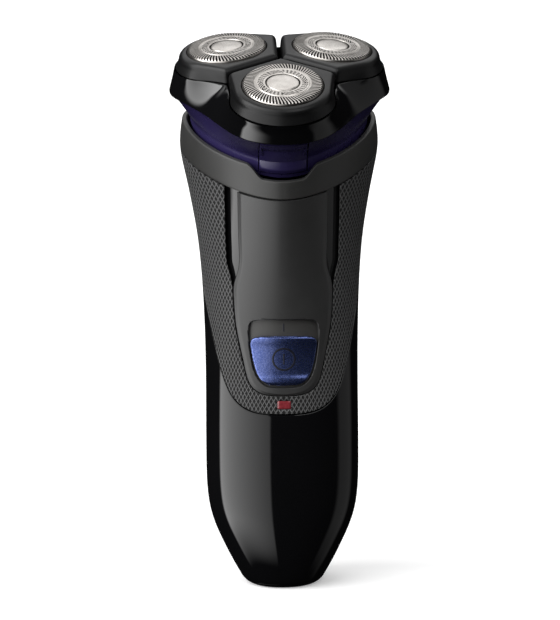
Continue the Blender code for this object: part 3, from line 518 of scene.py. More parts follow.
MOULDED = {
    "gloss": ("shell_gloss_black", (0.004, 0.004, 0.0045), 0.045, 0.015, 900.0, 0.0),
    "head_gloss": ("head_gloss_black", (0.004, 0.004, 0.0045), 0.05, 0.02, 900.0, 0.0),
    "collar": ("collar_matte", (0.032, 0.032, 0.031), 0.46, 0.03, 2400.0, 0.012),
    "panel": ("panel_satin", (0.030, 0.030, 0.030), 0.36, 0.03, 2600.0, 0.006),
    "petal": ("petal_satin", (0.007, 0.007, 0.0073), 0.32, 0.04, 1900.0, 0.014, 0.26),
    "neck": ("neck_indigo", (0.028, 0.021, 0.085), 0.27, 0.012, 900.0, 0.0, 0.6),
    "recess": ("recess_satin", (0.045, 0.044, 0.042), 0.34, 0.03, 2600.0, 0.006),
    "black": ("inner_black", (0.012, 0.012, 0.012), 0.5, 0.05, 1800.0, 0.01),
    "resin": ("resin_white", (0.60, 0.59, 0.56), 0.45, 0.05, 1500.0, 0.01),
    "board": ("board_green", (0.02, 0.12, 0.05), 0.4, 0.05, 1200.0, 0.01),
    # The switch's recess floor: the panel's satin plastic painted lighter, painted light on the floor.
    "cell": ("cell_wrap", (0.04, 0.17, 0.23), 0.3, 0.05, 800.0, 0.004),
    "engraved": ("engraved_dark", (0.006, 0.007, 0.014), 0.35, 0.05, 1500.0, 0.0),
    # Near-black sheet seen through the foil's slots: painted shade.
    "pit_shade": ("slot_shadow", (0.004, 0.004, 0.004), 0.8, 0.05, 1500.0, 0.0, 0.1),
    "steel": ("turned_steel", (0.50, 0.50, 0.51), 0.28, 0.06, 1500.0, 0.004, 0.5, 1.0),
    # The cutters' steel is near black: painted shade under the foils.
    "cutter": ("cutter_steel", (0.02, 0.019, 0.018), 0.5, 0.08, 1500.0, 0.004, 0.5, 1.0),
    "brass": ("pin_brass", (0.68, 0.48, 0.20), 0.28, 0.05, 1500.0, 0.004, 0.5, 1.0),
}
MAT = {key: moulded(*row) for key, row in MOULDED.items()}
MAT.update(foil=brushed_foil(), knurl=knurled_rubber(), blue=metallic_blue())


def lens_material():
    material, g, shader = new_material("indicator_red", (0.42, 0.045, 0.07), 0.12, 0.0, 0.5, 0.6, 0.05)
    glow = g.noise(g.where(), 1400.0, 2.0)
    dress(g, shader, g.blend(glow, colour(0.10, 0.01, 0.014), colour(0.30, 0.04, 0.05)))
    shader.inputs["Emission Color"].default_value = colour(0.8, 0.08, 0.10)
    shader.inputs["Emission Strength"].default_value = 0.02
    return material


MAT["lens"] = lens_material()


# ------------------------------ handle: shells, base and grip
def spaced(low, high, count):
    return [low + (high - low) * i / (count - 1) for i in range(count)]


def circle(cuts):
    return spaced(0, 2 * pi, cuts + 1)[:-1]


FULL_TURN = [2.0 * i for i in range(180)]
FRONT_TURNS = spaced(-89.85, 89.85, 181)
REAR_TURNS = spaced(90.15, 269.85, 181)
WALL, SKIN = 2.6, 1.2
SHELL_FOOT, SHELL_HEAD = 1.36, SEAM_LEVEL - 0.15


def shell_profile(turn):
    """The outer skin up to the grip's edge, then the ledge that the grip lies on, then the inner face."""
    edge = grip_edge(turn) - SEAM
    profile = [(SHELL_FOOT, 0.25), (SHELL_FOOT + 0.06, 0.06), (SHELL_FOOT + 0.2, 0.0)]
    profile += [(z, 0.0) for z in spaced(SHELL_FOOT + 0.6, edge - 0.5, 40)]
    profile += [(edge - 0.16, 0.0), (edge - 0.05, 0.05), (edge, 0.2), (edge, SKIN)]
    top = at_level(turn, SHELL_HEAD, SKIN)[2]
    profile += [(z, SKIN) for z in spaced(edge + 0.4, top, 24)]
    profile += [(z, WALL) for z in spaced(top, SHELL_FOOT, 30)]
    return [handle_point(turn, z, inset) for z, inset in profile]


def build_shells():
    for name, turns in (("front_shell", FRONT_TURNS), ("rear_shell", REAR_TURNS)):
        shell = capped_piece("vis_" + name, [shell_profile(t) for t in turns], MAT["gloss"])
        settle(shell, "handle", "shell_gloss", name)


def build_base():
    profile = [(0.0, 2.0), (0.0, 0.25), (0.03, 0.1)] + [(z, 0.0) for z in spaced(0.08, 1.15, 10)]
    profile += [(1.2, 0.04), (1.24, 0.2), (1.24, WALL + 0.3), (4.0, WALL + 0.3)]
    rows = [[handle_point(t, z, inset) for t in FULL_TURN] for z, inset in profile]
    base = capped_piece("vis_base_cap", rows, MAT["gloss"])
    boolean(base, block("cutter", (-5.2, -2.4, -1), (5.2, 4.4, 6), MAT["gloss"], AT_HANDLE, 1.0))
    settle(base, "handle", "shell_gloss", "base_cap")
    socket = block("vis_charging_socket", (-4.9, -2.1, 0.5), (4.9, 4.1, 9.0), MAT["black"], AT_HANDLE, 0.8)
    boolean(socket, block("cutter", (-3.9, -1.2, -1), (3.9, 3.2, 7.0), MAT["black"], AT_HANDLE, 0.7))
    for x in (-1.9, 1.9):
        boolean(socket, block("cutter", (x - 0.7, 0.3, 5), (x + 0.7, 1.7, 12), MAT["black"], AT_HANDLE, 0.4))
    settle(socket, "handle", "part_black", "charging_socket")


def block(name, low, high, material, place, radius=0.3):
    """A box with rounded edges."""
    bm = bmesh.new()
    bmesh.ops.create_cube(bm, size=1.0)
    for v in bm.verts:
        v.co = [low[k] + (high[k] - low[k]) * (v.co[k] + 0.5) for k in range(3)]
    if radius:
        bmesh.ops.bevel(bm, geom=bm.edges[:], offset=radius, segments=4, affect="EDGES", profile=0.5)
    points = [tuple(v.co) for v in bm.verts]
    faces = [tuple(v.index for v in f.verts) for f in bm.faces]
    bm.free()
    return mesh_piece(name, points, faces, material, place, 30)


def set_uv(obj, name, values, period=None):
    """UV map from one pair for each vertex. With a period, faces that cross the first row stay whole."""
    layer = obj.data.uv_layers.new(name=name)
    for polygon in obj.data.polygons:
        corners = [values[obj.data.loops[i].vertex_index] for i in polygon.loop_indices]
        far = max(c[0] for c in corners)
        for i, (u, v) in zip(polygon.loop_indices, corners):
            layer.data[i].uv = (u + period if period and far - u > period / 2 else u, v)


def arc_lengths(turns, z):
    """Distance round the handle's surface to each turn, and the whole way round."""
    points = [np.array(handle_point(t, z)) for t in (*turns, turns[0] + 360)]
    steps = [float(np.linalg.norm(b - a)) for a, b in zip(points, points[1:])]
    total = np.cumsum([0.0, *steps])
    return list(total[:-1]), float(total[-1])


def tongue_half(z):
    """Half the width of the front panel at height z."""
    return TONGUE_LINE(sqrt(max(z - TONGUE_FOOT, 0.0)))


TONGUE_LINE = Spline([(sqrt(z - TONGUE_FOOT), half) for z, half in TONGUE])


def mirrored(side):
    """Closes an outline with the mirror image of its right side."""
    return side + [(-x, z) for x, z in reversed(side)]


def tongue_outline(margin, channel):
    side = []
    for u in spaced(0.25, sqrt(150 - TONGUE_FOOT), 70):
        z = TONGUE_FOOT + u * u
        half, ahead = tongue_half(z), tongue_half(z + 0.02)
        slope = (ahead - half) / 0.02
        length = hypot(1, slope)
        extra = margin + channel * step(*CHANNEL_RISE, z)
        side.append((half + extra / length, z - extra * slope / length))
    return mirrored(side)


def build_grip():
    rows, heights = [], []
    for t in FULL_TURN:
        foot, top = grip_edge(t) + 0.25, at_level(t, SHELL_HEAD, 0.0)[2]
        column = [(foot, 0.25), (foot + 0.05, 0.06), (foot + 0.2, 0.0)]
        column += [(z, 0.0) for z in spaced(foot + 0.6, top - 0.5, 44)]
        column += [(top - 0.15, 0.0), (top - 0.03, 0.06), (top, 0.25)]
        column += [(z, SKIN - 0.2) for z in spaced(top, foot, 26)]
        rows.append([handle_point(t, z, inset) for z, inset in column])
        heights.append([z - foot for z, inset in column])
    grip = ring_piece("vis_grip", rows, MAT["knurl"])
    arcs, total = arc_lengths(FULL_TURN, 78.0)
    scale = round(total / KNURL_ACROSS) * KNURL_ACROSS / total
    values = [(arcs[i] * scale, row[j][2]) for i, row in enumerate(rows) for j in range(len(row))]
    set_uv(grip, "arc", values, total * scale)
    boolean(grip, prism(tongue_outline(0.28, CHANNEL)))
    lens = rounded_box_outline(LENS_Z, 2.0, 1.25, 0.45)
    boolean(grip, prism(lens, -10))
    settle(grip, "handle", "grip_rubber", "grip")


def rounded_box_outline(z, half_w, half_h, radius, cuts=6):
    points = []
    for corner, (sx, sz) in enumerate(((1, 1), (-1, 1), (-1, -1), (1, -1))):
        for i in range(cuts + 1):
            a = radians(90 * corner + 90 * i / cuts)
            points.append((sx * (half_w - radius) + radius * cos(a),
                           z + sz * (half_h - radius) + radius * sin(a)))
    return points


# ------------------------------ front panel, switch and indicator
def on_front(x, z, proud=0.0):
    """Point above the handle's front surface."""
    y = front_y(x, z)
    near, far = max(abs(x) - 0.05, 0), abs(x) + 0.05
    dx = (front_y(far, z) - front_y(near, z)) / (0.1 if near else far)
    dz = (front_y(x, z + 0.05) - front_y(x, z - 0.05)) / 0.1
    dx = copysign(dx, x)
    length = sqrt(dx * dx + dz * dz + 1)
    return x + proud * dx / length, y - proud / length, z + proud * dz / length


def panel_top(share):
    z = 120.0
    for _ in range(9):
        z = level_height(front_y(share * tongue_half(z), z), SHELL_HEAD)
    return z


def panel_proud(share, z):
    half = tongue_half(z)
    slope = (tongue_half(z + 0.05) - half) / 0.05
    away = (1 - abs(share)) * half / hypot(1, slope)
    return 0.10 * step(0, 0.14, away) + 0.22 * min(away / 0.95, 1.0) + 0.10 * step(0.75, 1.25, away)


def build_panel():
    rows = []
    for a in spaced(-90, 90, 61):
        share = sin(radians(a))
        top, column = panel_top(share), []
        for u in spaced(0.02, 1, 110):
            z = TONGUE_FOOT + (top - TONGUE_FOOT) * u * u
            column.append(on_front(share * tongue_half(z), z, panel_proud(share, z)))
        column.append(on_front(share * tongue_half(top), top, -0.2))
        inner = [on_front(share * tongue_half(z), z, -0.9) for z in spaced(top, 56.3, 12)]
        rows.append(column + inner)
    panel = capped_piece("vis_front_panel", rows, MAT["panel"])
    slot = slot_curve()
    boolean(panel, prism(slot))
    settle(panel, "handle", "panel_satin", "front_panel")
    rim = []
    for (x, z), (nx, nz) in zip(slot, curve_normals(slot)):
        section = ((0.34, 0.405), (0.2, 0.435), (0.06, 0.415), (-0.03, 0.34), (-0.08, 0.2), (-0.08, -0.9),
                   (0.34, -0.9))
        rim.append([on_front(x + d * nx, z + d * nz, proud) for d, proud in section])
    rim = ring_piece("vis_switch_surround", rim, MAT["panel"])
    settle(rim, "handle", "panel_satin")


def closed_curve(points, cuts=6):
    """Smooth closed curve through (x, z) points."""
    n, curve = len(points), []
    for i in range(n):
        p0, p1, p2, p3 = (np.array(points[(i + k) % n]) for k in (-1, 0, 1, 2))
        for s in (j / cuts for j in range(cuts)):
            curve.append(tuple(0.5 * ((2 * p1) + (p2 - p0) * s + (2 * p0 - 5 * p1 + 4 * p2 - p3) * s**2
                                      + (3 * p1 - p0 - 3 * p2 + p3) * s**3)))
    return curve


def curve_normals(curve):
    """Outward normals of a closed curve that runs anticlockwise as seen from the front, +X to the right."""
    n, normals = len(curve), []
    for i in range(n):
        (x0, z0), (x1, z1) = curve[i - 1], curve[(i + 1) % n]
        length = hypot(x1 - x0, z1 - z0)
        normals.append(((z1 - z0) / length, -(x1 - x0) / length))
    return normals


def slot_curve():
    side = [(2.4, 58.35), (5.2, 59.0), (7.5, 61.3), (8.8, 65.0), (9.5, 69.5), (9.75, 73.4), (9.6, 75.3),
            (9.1, 76.6), (7.7, 77.3), (4.0, 77.6)]
    return closed_curve(mirrored(side))


SLIDER_SIDE = [(2.4, 59.2), (4.9, 59.7), (7.0, 61.8), (8.3, 65.5), (9.0, 69.5), (9.1, 71.0), (8.6, 72.1),
               (7.0, 72.6), (3.5, 72.8)]
SLIDER_FACE = Spline(((58.5, 0.1), (59.6, 0.62), (60.4, 0.86), (61.1, 0.84), (61.9, 0.62), (63.5, 0.42),
                      (66.5, 0.34), (69.0, 0.46), (70.6, 0.72), (71.6, 0.93), (72.3, 0.98), (73.0, 0.86),
                      (74, 0.6)))


def slider_point(x, z, extra=0.0):
    return on_front(x, z, SLIDER_FACE(z) + extra)


def ribbon(name, path, width, surface, proud, material, closed=True):
    """A thin inlaid strip along a path of (x, z) points on a surface."""
    rows, n = [], len(path)
    for i, (x, z) in enumerate(path):
        x0, z0 = path[i - 1] if closed or i else path[i]
        x1, z1 = path[(i + 1) % n] if closed or i + 1 < n else path[i]
        length = hypot(x1 - x0, z1 - z0)
        nx, nz = (z1 - z0) / length, -(x1 - x0) / length
        section = ((-0.5, -0.3), (-0.5, 0.0), (-0.3, 1.0), (0.3, 1.0), (0.5, 0.0), (0.5, -0.3))
        rows.append([surface(x + d * width * nx, z + d * width * nz, p * proud) for d, p in section])
    return grid_piece(name, rows, material, AT_HANDLE, close_rows=closed, close_columns=True, caps=not closed)


def outline_distance(x, z, outline):
    """Distance to a closed outline's nearest segment."""
    a = np.array(outline)
    b = np.roll(a, -1, axis=0)
    p, d = np.array((x, z)), b - a
    t = np.clip(((p - a) * d).sum(1) / (d * d).sum(1), 0, 1)
    return float(np.sqrt((((a + d * t[:, None]) - p) ** 2).sum(1).min()))


def build_switch():
    rows = []
    for x in spaced(-10.4, 10.4, 42):
        rows.append([on_front(x, z, -0.75) for z in spaced(57.5, 79.5, 40)]
                    + [on_front(x, z, -1.15) for z in (79.5, 57.5)])
    # The recess floor takes the lighter copy of the panel plastic: painted light.
    plate = capped_piece("vis_switch_floor", rows, MAT["recess"])
    edge = [(x * 1.01, 68.4 + (z - 68.4) * 1.01) for x, z in slot_curve()]  # runs just under the surround
    boolean(plate, prism(edge), "INTERSECT")
    settle(plate, "handle", "panel_satin")
    mark = ribbon("vis_switch_mark", [(0.0, 76.3), (0.0, 75.3), (0.0, 74.1)], 0.42,
                  lambda x, z, p: on_front(x, z, -0.75 + p), 0.03, MAT["engraved"], closed=False)
    settle(mark, "handle", "panel_satin")
    outline = closed_curve(mirrored(SLIDER_SIDE))
    rows = []
    for x in spaced(-8.9, 8.9, 90):
        outer = []
        for z in spaced(58.8, 73.6, 76):
            outer.append(slider_point(x, z, -rounded_edge(outline_distance(x, z, outline), 0.42)))
        rows.append(outer + [on_front(x, z, -0.7) for z in (73.6, 58.8)])
    slider = capped_piece("vis_slide_switch", rows, MAT["blue"])
    boolean(slider, prism(outline), "INTERSECT")
    settle(slider, "switch", "switch_blue", "slide_switch")
    ring = [(3.0 * cos(a), 66.5 + 3.0 * sin(a)) for a in circle(60)]
    mark = ribbon("vis_power_ring", ring, 0.52, slider_point, 0.02, MAT["engraved"])
    settle(mark, "switch", "switch_blue")
    stroke = [(0.0, 68.0), (0.0, 67.0), (0.0, 66.0), (0.0, 65.0)]
    mark = ribbon("vis_power_stroke", stroke, 0.42, slider_point, 0.02, MAT["engraved"], closed=False)
    settle(mark, "switch", "switch_blue")


def build_lens():
    rows = []
    for x in spaced(-1.85, 1.85, 16):
        row = []
        for z in spaced(LENS_Z - 1.1, LENS_Z + 1.1, 12):
            ax, az = min((1.85 - abs(x)) / 0.35, 1.0), min((1.1 - abs(z - LENS_Z)) / 0.35, 1.0)
            row.append(on_front(x, z, 0.12 - 0.2 * ((1 - ax) ** 2 + (1 - az) ** 2)))
        rows.append(row + [on_front(x, z, -1.0) for z in (LENS_Z + 1.1, LENS_Z - 1.1)])
    lens = capped_piece("vis_indicator_lens", rows, MAT["lens"])
    settle(lens, "handle", "indicator_red", "indicator_lens")


# ------------------------------ collar, neck and release button
COLLAR_TURNS = sorted({round(t, 3) for t in spaced(-24, 24, 121) + spaced(24, 336, 209)[1:-1]})


def build_collar():
    steps = [(0, 0.25), (0.01, 0.06), (0.03, 0)] + [(s, 0) for s in spaced(0.08, 0.93, 14)]
    steps += [(0.965, 0.03), (0.985, 0.12), (0.997, 0.3), (1, 0.55)]
    steps += [(1, COLLAR_WALL - 0.3)] + [(f, COLLAR_WALL) for f in (0.97, 0.6, 0.3, 0)]
    rows = []
    for t in COLLAR_TURNS:
        row = []
        for f, inset in steps:
            level = SEAM_LEVEL + 0.15 + (RIM_LEVEL - SEAM_LEVEL - 0.15) * f
            row.append(at_level(t, level, inset, lambda x, f=f: notch(x) * f))
        rows.append(row)
    collar = ring_piece("vis_collar", rows, MAT["collar"])
    settle(collar, "handle", "collar_matte", "collar")


def rim_table():
    """(angle, reach) of the handle's surface on the rim's level, seen from the head's axis."""
    table = []
    for turn in spaced(0, 180, 91):
        x, y, _ = to_head(at_level(turn, RIM_LEVEL))
        table.append((degrees(atan2(x, -y)), hypot(x, y)))
    return Spline(table)


rim_line = rim_table()


def skirt_reach(angle, inset=0.0):
    return skirt_plan(folded(angle)) - inset


def neck_reach(angle, level, inset=0.0):
    foot = rim_line(folded(angle)) - COLLAR_WALL - NECK_GAP
    rise = max((level - FLARE_LEVEL) / (NECK_TOP - FLARE_LEVEL), 0.0)
    rise = (rise**4 + 0.06**4) ** 0.25 - 0.06 if rise < 1 else 1.0
    return foot + (skirt_reach(angle, 1.0) - foot) * rise**1.05 - inset


def neck_point(x, level, inset):
    angle = 0.0
    for _ in range(12):
        angle = degrees(asin(x / neck_reach(angle, level, inset)))
    return x, -neck_reach(angle, level, inset) * cos(radians(angle)), level


def build_neck():
    steps = [(NECK_FOOT, 0.9), (NECK_FOOT + 1.8, 0.35)] + [(z, 0) for z in spaced(RIM_LEVEL - 0.4, -12.9, 30)]
    steps += [(NECK_TOP - 0.15, 0.04), (NECK_TOP, 0.25)]
    rows = []
    for a in FULL_TURN:
        outer = [polar(neck_reach(a, level, inset), a, level) for level, inset in steps]
        inner = [polar(neck_reach(a, level, 1.5), a, level) for level in spaced(NECK_TOP, NECK_FOOT, 12)]
        rows.append(outer + inner)
    neck = ring_piece("vis_neck_shell", rows, MAT["neck"], AT_HEAD)
    low, high = (-6.75, -40, BUTTON_FOOT - 0.25), (6.75, -12, BUTTON_HEAD + 0.25)
    boolean(neck, block("cutter", low, high, MAT["neck"], AT_HEAD, 0.25))
    parts = [neck]
    for side in (-1, 1):
        low, high = sorted((side * 5.3, side * 8.4))
        parts.append(knuckle("lug", low, high, -1.25, -0.35, 20.0, MAT["neck"]))
    join(parts)
    settle(neck, "neck", "neck_indigo", "neck_shell")


def knuckle(name, low, high, foot, head, near, material):
    """A hinge knuckle about the hinge's axis, with the lug that carries it."""
    rows = []
    for x, r in ((low, 0.85), (low, KNUCKLE_R - 0.1), (low + 0.1, KNUCKLE_R), (high - 0.1, KNUCKLE_R),
                 (high, KNUCKLE_R - 0.1), (high, 0.85)):
        rows.append([(x, HINGE_REACH + r * cos(a), HINGE_LEVEL + r * sin(a))
                     for a in circle(32)])
    barrel = ring_piece(name, rows, material, AT_HEAD)
    lug = block(name, (low + 0.1, near, HINGE_LEVEL + foot), (high - 0.1, HINGE_REACH, HINGE_LEVEL + head),
                material, AT_HEAD, 0.15)
    return join([barrel, lug])


def join(objects):
    """Gathers several meshes into the first object."""
    bm = bmesh.new()
    for obj in objects:
        bm.from_mesh(obj.data)
    bm.to_mesh(objects[0].data)
    bm.free()
    for obj in objects[1:]:
        bpy.data.objects.remove(obj, do_unlink=True)
    objects[0].data.set_sharp_from_angle(angle=radians(40))
    return objects[0]


BUTTON_FOOT, BUTTON_HEAD = -24.4, -13.4


def button_proud(x, level):
    """Height of the release button's face: a shallow step, a tapering hollow and a rounded pad."""
    half = 6.0 + (level + 15.3) * 0.23
    hollow = step(-15.2, -15.5, level) * step(-20.15, -19.95, level) * step(half + 0.12, half - 0.12, abs(x))
    pad = step(-20.0, -20.7, level) * sqrt(max(1 - ((level + 21.9) / 3.0) ** 2, 0.0))
    band = step(-15.1, -14.4, level)
    return 0.22 - 0.58 * hollow + 0.34 * pad - 0.12 * band - 0.5 * step(-22.8, -24.4, level)


def build_release():
    rows = []
    for x in spaced(-6.5, 6.5, 90):
        column = []
        for level in spaced(BUTTON_FOOT, BUTTON_HEAD, 90):
            edge = min(6.5 - abs(x), level - BUTTON_FOOT, BUTTON_HEAD - level)
            column.append(neck_point(x, level, rounded_edge(edge, 0.3) - button_proud(x, level)))
        rows.append(column + [neck_point(x, level, 1.3) for level in (BUTTON_HEAD, BUTTON_FOOT)])
    button = capped_piece("vis_release_button", rows, MAT["neck"], AT_HEAD)
    settle(button, "release", "neck_indigo", "release_button")


# ------------------------------ opening head and its cutting units
HEAD_ANGLES = [float(i) for i in range(360)]


def softened(values, passes=3):
    """Rounds the corners of a closed row of numbers."""
    row = np.array(values)
    for _ in range(passes):
        row = 0.5 * row + 0.25 * (np.roll(row, 1) + np.roll(row, -1))
    return row


def build_skirt():
    edge = [opening(a) for a in HEAD_ANGLES]
    near, smooth_near = (softened([reach + PETAL_CLEAR for reach, level in edge], n) for n in (4, 90))
    top, smooth_top = (softened([level for reach, level in edge], n) for n in (4, 90))
    rows = []
    for i, a in enumerate(HEAD_ANGLES):
        far = skirt_reach(a)

        def at(share, inset=0.0, i=i, a=a, far=far):
            even = step(0, 0.5, share)
            start = near[i] + (smooth_near[i] - near[i]) * even
            high = top[i] + (smooth_top[i] - top[i]) * even
            reach = start + (far - start) * share**0.75
            return polar(reach - inset, a, high + (SKIRT_FOOT - high) * share)
        column = [polar(near[i] + 0.02, a, top[i] - 0.25), polar(near[i] + 0.1, a, top[i] - 0.06)]
        column += [at(s) for s in (0.012, 0.03, 0.06, 0.1, 0.15, 0.2, 0.27, 0.35, 0.43, 0.52, 0.6, 0.68, 0.76,
                                   0.84, 0.9, 0.94, 0.965)]
        column += [at(0.985, 0.04), at(0.997, 0.14), at(1, 0.3)]
        column += [at(1, 1.5), at(0.75, 1.5), at(0.5, 1.5), at(0.3, 0.8)]
        rows.append(column)
    skirt = ring_piece("vis_head_frame", rows, MAT["head_gloss"], AT_HEAD)
    for side in (-1, 1):
        low, high = sorted((side * 5.05, side * 9))
        boolean(skirt, block("cutter", (low, 21.7, -14), (high, 27, -10.6), MAT["head_gloss"], AT_HEAD, 0.1))
    parts = [skirt, knuckle("lug", -4.9, 4.9, 0.25, 1.2, 20.6, MAT["head_gloss"])]
    for turn in (60, 180, 300):
        reach = 19.6 if turn == 180 else 21.2
        spoke = AT_HEAD @ Matrix.Rotation(radians(turn), 4, "Z")
        parts.append(block("rib", (-1.2, -reach, -10.2), (1.2, 0.5, -8.6), MAT["head_gloss"], spoke, 0.2))
    join(parts)
    settle(skirt, "head", "head_gloss", "head_frame")


def petal_lean(angle):
    return 0.1 + 0.9 * min(max((folded(angle) - 96) / 22, 0.0), 1.0)


def build_petal(name, turn):
    rows = []
    for a in spaced(0, 360, 361)[:-1]:
        lean, wide = petal_lean(a), petal_bulge(a)
        column = [polar(FOIL_HOLE_R + r, a, z) for r, z in ((0, -2.3), (0, -1.0), (0.06, -0.93))]
        for q in (radians(q * 9 / 8) for q in spaced(0, 80, 11)):
            inset, z = 1.55 - (1.55 + 0.2 * wide) * sin(q), -0.93 - 1.85 * (1 - cos(q))
            column.append(polar(max(petal_reach(a, inset), FOIL_HOLE_R + 0.1), a, z))
        for share in (0.25, 0.5, 0.75, 0.92, 1.0):
            column.append(polar(petal_reach(a, -wide * (0.2 + 0.8 * share)), a, -2.78 - 2.22 * share))
        for inset, z in ((0.05 - wide, -5.1), (0.3 - wide, -5.16), (lean * 0.5 - 0.8 * wide, -5.3),
                         (lean, PETAL_FOOT), (lean + 1.1, PETAL_FOOT)):
            column.append(polar(petal_reach(a, inset), a, z))
        column.append(polar(max(petal_reach(a, lean + 1.1), FOIL_HOLE_R + 0.1), a, -3.2))
        rows.append(column)
    petal = ring_piece("vis_petal_" + name, rows, MAT["petal"], at_unit(turn))
    settle(petal, "petal_" + name, "petal_satin", "petal_" + name)


FACE_RINGS = (4.72, 4.82, 5.1, 5.3, 5.5, 5.75, 5.85, 6.3, 6.4, 6.85, 6.95, 7.2, 7.34, 7.44, 7.6, 7.8, 8.2,
              9.0, 9.6, 10.05, 10.35, 10.6, 10.78, 10.88)
FOIL_CELLS = 360  # cells round each ring of the foil


def face_height(r):
    """Height of the foil: a flat face, a fine groove, and a rounded shoulder."""
    height = -0.12 if abs(r - 7.39) < 0.06 else 0.0
    if r < 4.8:
        height = -0.1
    if r > 10.0:
        height = -0.5 * ((r - 10.0) / 0.88) ** 2.2
    return height


def face_open(ring, cell):
    """Whether the foil has a hole in this cell of its ring."""
    r = 0.5 * (FACE_RINGS[ring] + FACE_RINGS[ring + 1])
    if 7.75 < r < 10.86:
        return cell % 5 < 3
    if not 5.3 < r < 6.9:
        return False
    if cell % 90 < 30:
        return cell % 8 < 4
    first, second, middle = 5.3 < r < 5.75, 6.4 < r < 6.85, 5.85 < r < 6.3
    return (first or second) and cell % 10 < 5 or middle and (cell + 5) % 10 < 5


def build_foil(name, turn):
    place, points, faces = at_unit(turn), [], []
    for r in FACE_RINGS:
        swirl = 2.0 * (r - 9.2) if r > 7.6 else 10.0 * (r - 6.2)
        for i in range(FOIL_CELLS):
            points.append(polar(r, i * 360 / FOIL_CELLS + swirl, face_height(r)))
    for k in range(len(FACE_RINGS) - 1):
        for i in range(FOIL_CELLS):
            if not face_open(k, i):
                a, b = k * FOIL_CELLS + i, k * FOIL_CELLS + (i + 1) % FOIL_CELLS
                faces.append((a, b, b + FOIL_CELLS, a + FOIL_CELLS))
    foil = mesh_piece("vis_foil_" + name, points, faces, MAT["foil"], place, 30)
    set_uv(foil, "polar", [p[:2] for p in points])
    plate = foil.modifiers.new("thickness", "SOLIDIFY")
    plate.thickness, plate.offset = 0.05 * MM, 1.0
    apply_modifiers(foil)
    wall = turned_piece("wall", ((10.88, -0.5), (10.97, -0.7), (11.0, -1.1), (11.0, -2.7), (11.6, -2.8),
                                 (11.6, -3.5), (10.4, -3.5), (10.4, -1.0), (10.7, -0.75)), MAT["foil"],
                        place, 120)
    set_uv(wall, "polar", [(10.9, 0.0)] * len(wall.data.vertices))
    join([foil, wall])
    # A near-black turned sheet just under the foil, seen through its slots: painted shade below the foil.
    depth = [(r, face_height(r) - 0.16) for r in (4.5, 7.0, 10.0, 10.3, 10.5, 10.7)]
    depth += [(10.6, -1.0), (4.5, -1.0)]
    shade = turned_piece("vis_foil_shade_" + name, depth, MAT["pit_shade"], place)
    settle(shade, "foil_" + name, "cutter_steel")
    settle(foil, "foil_" + name, "foil_steel", "foil_" + name)
    crown = ((0.001, 0.3), (2.2, 0.29), (3.2, 0.24), (3.8, 0.15), (4.2, 0.02), (4.4, -0.14), (4.45, -0.3),
             (4.45, -0.8), (0.001, -0.8))
    disc = turned_piece("vis_foil_disc_" + name, crown, MAT["foil"], place, open_profile=True)
    layer = [tuple(place.inverted() @ v.co / MM)[:2] for v in disc.data.vertices]
    set_uv(disc, "polar", layer)
    settle(disc, "foil_" + name, "foil_steel", "foil_disc_" + name)


# ------------------------------ CAD nodes that are shown as they are
CARRIED = {
    "black": ("mode_switch", "control_chip", "pivot_deck", "gimbal_ring", "gear_cover", "cutter_retainer",
              "drive_cup"),
    "resin": ("inner_frame", "motor_end_cap", "gear_tray", "sun_gear", "drive_gear", "cutter_hub",
              "indicator_led"),
    "steel": ("battery_tab", "motor_can", "motor_shaft", "deck_screw", "hinge_pin", "drive_spindle"),
    # The cutters get the near-black steel: painted shade under the foils.
    "cutter": ("cutter_front", "cutter_right", "cutter_left"),
    "brass": ("socket_pin",),
    "board": ("circuit_board",),
    "cell": ("battery_cell",),
}


def dress_carried():
    for key, names in CARRIED.items():
        for name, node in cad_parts.items():
            if name.startswith(names):
                node.data.materials.clear()
                node.data.materials.append(MAT[key])


# ------------------------------ studio
def build_floor():
    material, g, shader = new_material("studio_floor", (0.86, 0.86, 0.86), 0.9, 0.0, 0.1)
    dress(g, shader, g.blend(g.noise(g.where(), 3.0), colour(0.85, 0.85, 0.85), colour(0.87, 0.87, 0.87)))
    corners = [(x * FLOOR_HALF, y * FLOOR_HALF, 0) for x, y in ((-1, -1), (1, -1), (1, 1), (-1, 1))]
    floor = mesh_piece("studio_floor", corners, [(0, 1, 2, 3)], material, Matrix.Identity(4))
    shader.inputs["Emission Color"].default_value = colour(1, 1, 1)
    shader.inputs["Emission Strength"].default_value = 0.3
    floor.visible_glossy = floor.visible_diffuse = False


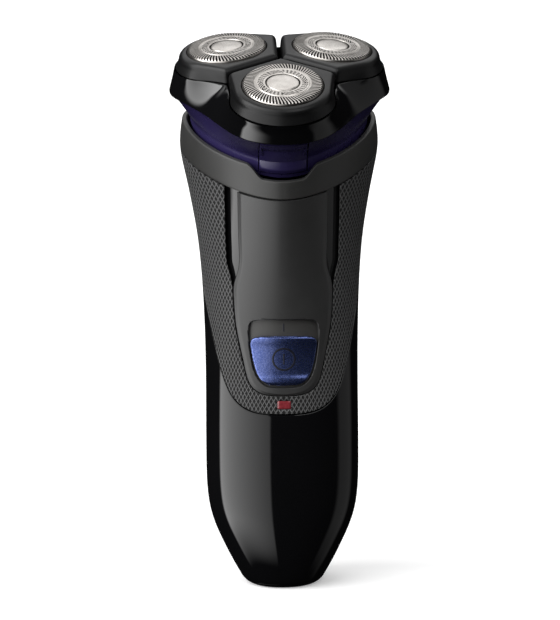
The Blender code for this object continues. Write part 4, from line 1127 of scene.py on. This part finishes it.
def build_world():
    """Soft boxes painted on the sky by direction: azimuth 0 is straight in front and +90 towards +X."""
    world = bpy.data.worlds.new("studio")
    bpy.context.scene.world = world
    world.use_nodes = True
    g = Graph(world.node_tree)
    background = world.node_tree.nodes["Background"]
    direction = g.add("ShaderNodeSeparateXYZ")
    g.put(direction.inputs[0], g.add("ShaderNodeTexCoord").outputs["Generated"])
    x, y, z = direction.outputs
    azimuth = g.times(g.math("ARCTAN2", x, g.times(y, -1.0)), 180 / pi)
    height = g.times(g.math("ARCSINE", z), 180 / pi)

    def window(value, low, high, soft_low, soft_high):
        rise = g.ramp(value, low - soft_low, low + soft_low)
        return g.times(rise, g.ramp(value, high + soft_high, high - soft_high))

    left = g.times(window(azimuth, -93, -7, 3, 1.2), window(height, -38, 58, 10, 4))
    left = g.times(left, g.ramp(azimuth, -90, -7, 4.3, 0.9, False))
    left = g.times(left, g.ramp(height, 5, 45, 1.0, 1.7))
    high = g.times(window(azimuth, 8, 66, 1.5, 14), window(height, 22, 58, 3, 4))
    high = g.times(high, g.ramp(azimuth, 8, 66, 2.6, 0.5, False))
    right = g.times(window(azimuth, 72, 112, 6, 8), window(height, -40, 55, 12, 8))
    right = g.times(right, 0.25)
    behind = g.times(g.ramp(g.math("ABSOLUTE", azimuth), 95, 125), window(height, 34, 120, 6, 1))
    behind = g.times(behind, 1.25)
    top = g.times(g.ramp(height, 62, 78), 1.6)
    front = g.plus(left, g.plus(right, high))
    total = g.plus(front, g.plus(g.math("MAXIMUM", behind, top), AMBIENT))
    path = g.add("ShaderNodeLightPath")
    diffuse = g.math("MAXIMUM", total, g.times(path.outputs["Is Diffuse Ray"], 0.10))
    seen = g.math("MAXIMUM", diffuse, path.outputs["Is Camera Ray"])
    g.put(background.inputs["Color"], colour(1, 1, 1))
    g.put(background.inputs["Strength"], seen)


def place_camera():
    rise, turn = radians(VIEW_RISE), radians(VIEW_TURN)
    target = Vector((VIEW_TARGET_X, BODY_Y, VIEW_TARGET_Z)) * MM
    back = Vector((sin(turn) * cos(rise), -cos(turn) * cos(rise), sin(rise)))
    camera = bpy.data.objects.new("camera", bpy.data.cameras.new("camera"))
    bpy.context.scene.collection.objects.link(camera)
    facing = back.to_track_quat("Z", "Y").to_matrix().to_4x4()
    roll = Matrix.Rotation(-radians(VIEW_ROLL), 4, "Z")
    camera.matrix_world = Matrix.Translation(target + back * VIEW_DISTANCE * MM) @ facing @ roll
    camera.data.lens, camera.data.sensor_width = LENS_MM, 36.0
    camera.data.clip_start, camera.data.clip_end = 0.05, 100.0
    bpy.context.scene.camera = camera


build_shells()
build_base()
build_grip()
build_panel()
build_switch()
build_lens()
build_collar()
build_neck()
build_release()
build_skirt()
for unit_name, unit_turn in UNITS:
    build_petal(unit_name, unit_turn)
    build_foil(unit_name, unit_turn)
dress_carried()
build_floor()
build_world()
place_camera()
bpy.context.scene.view_settings.view_transform = "Standard"
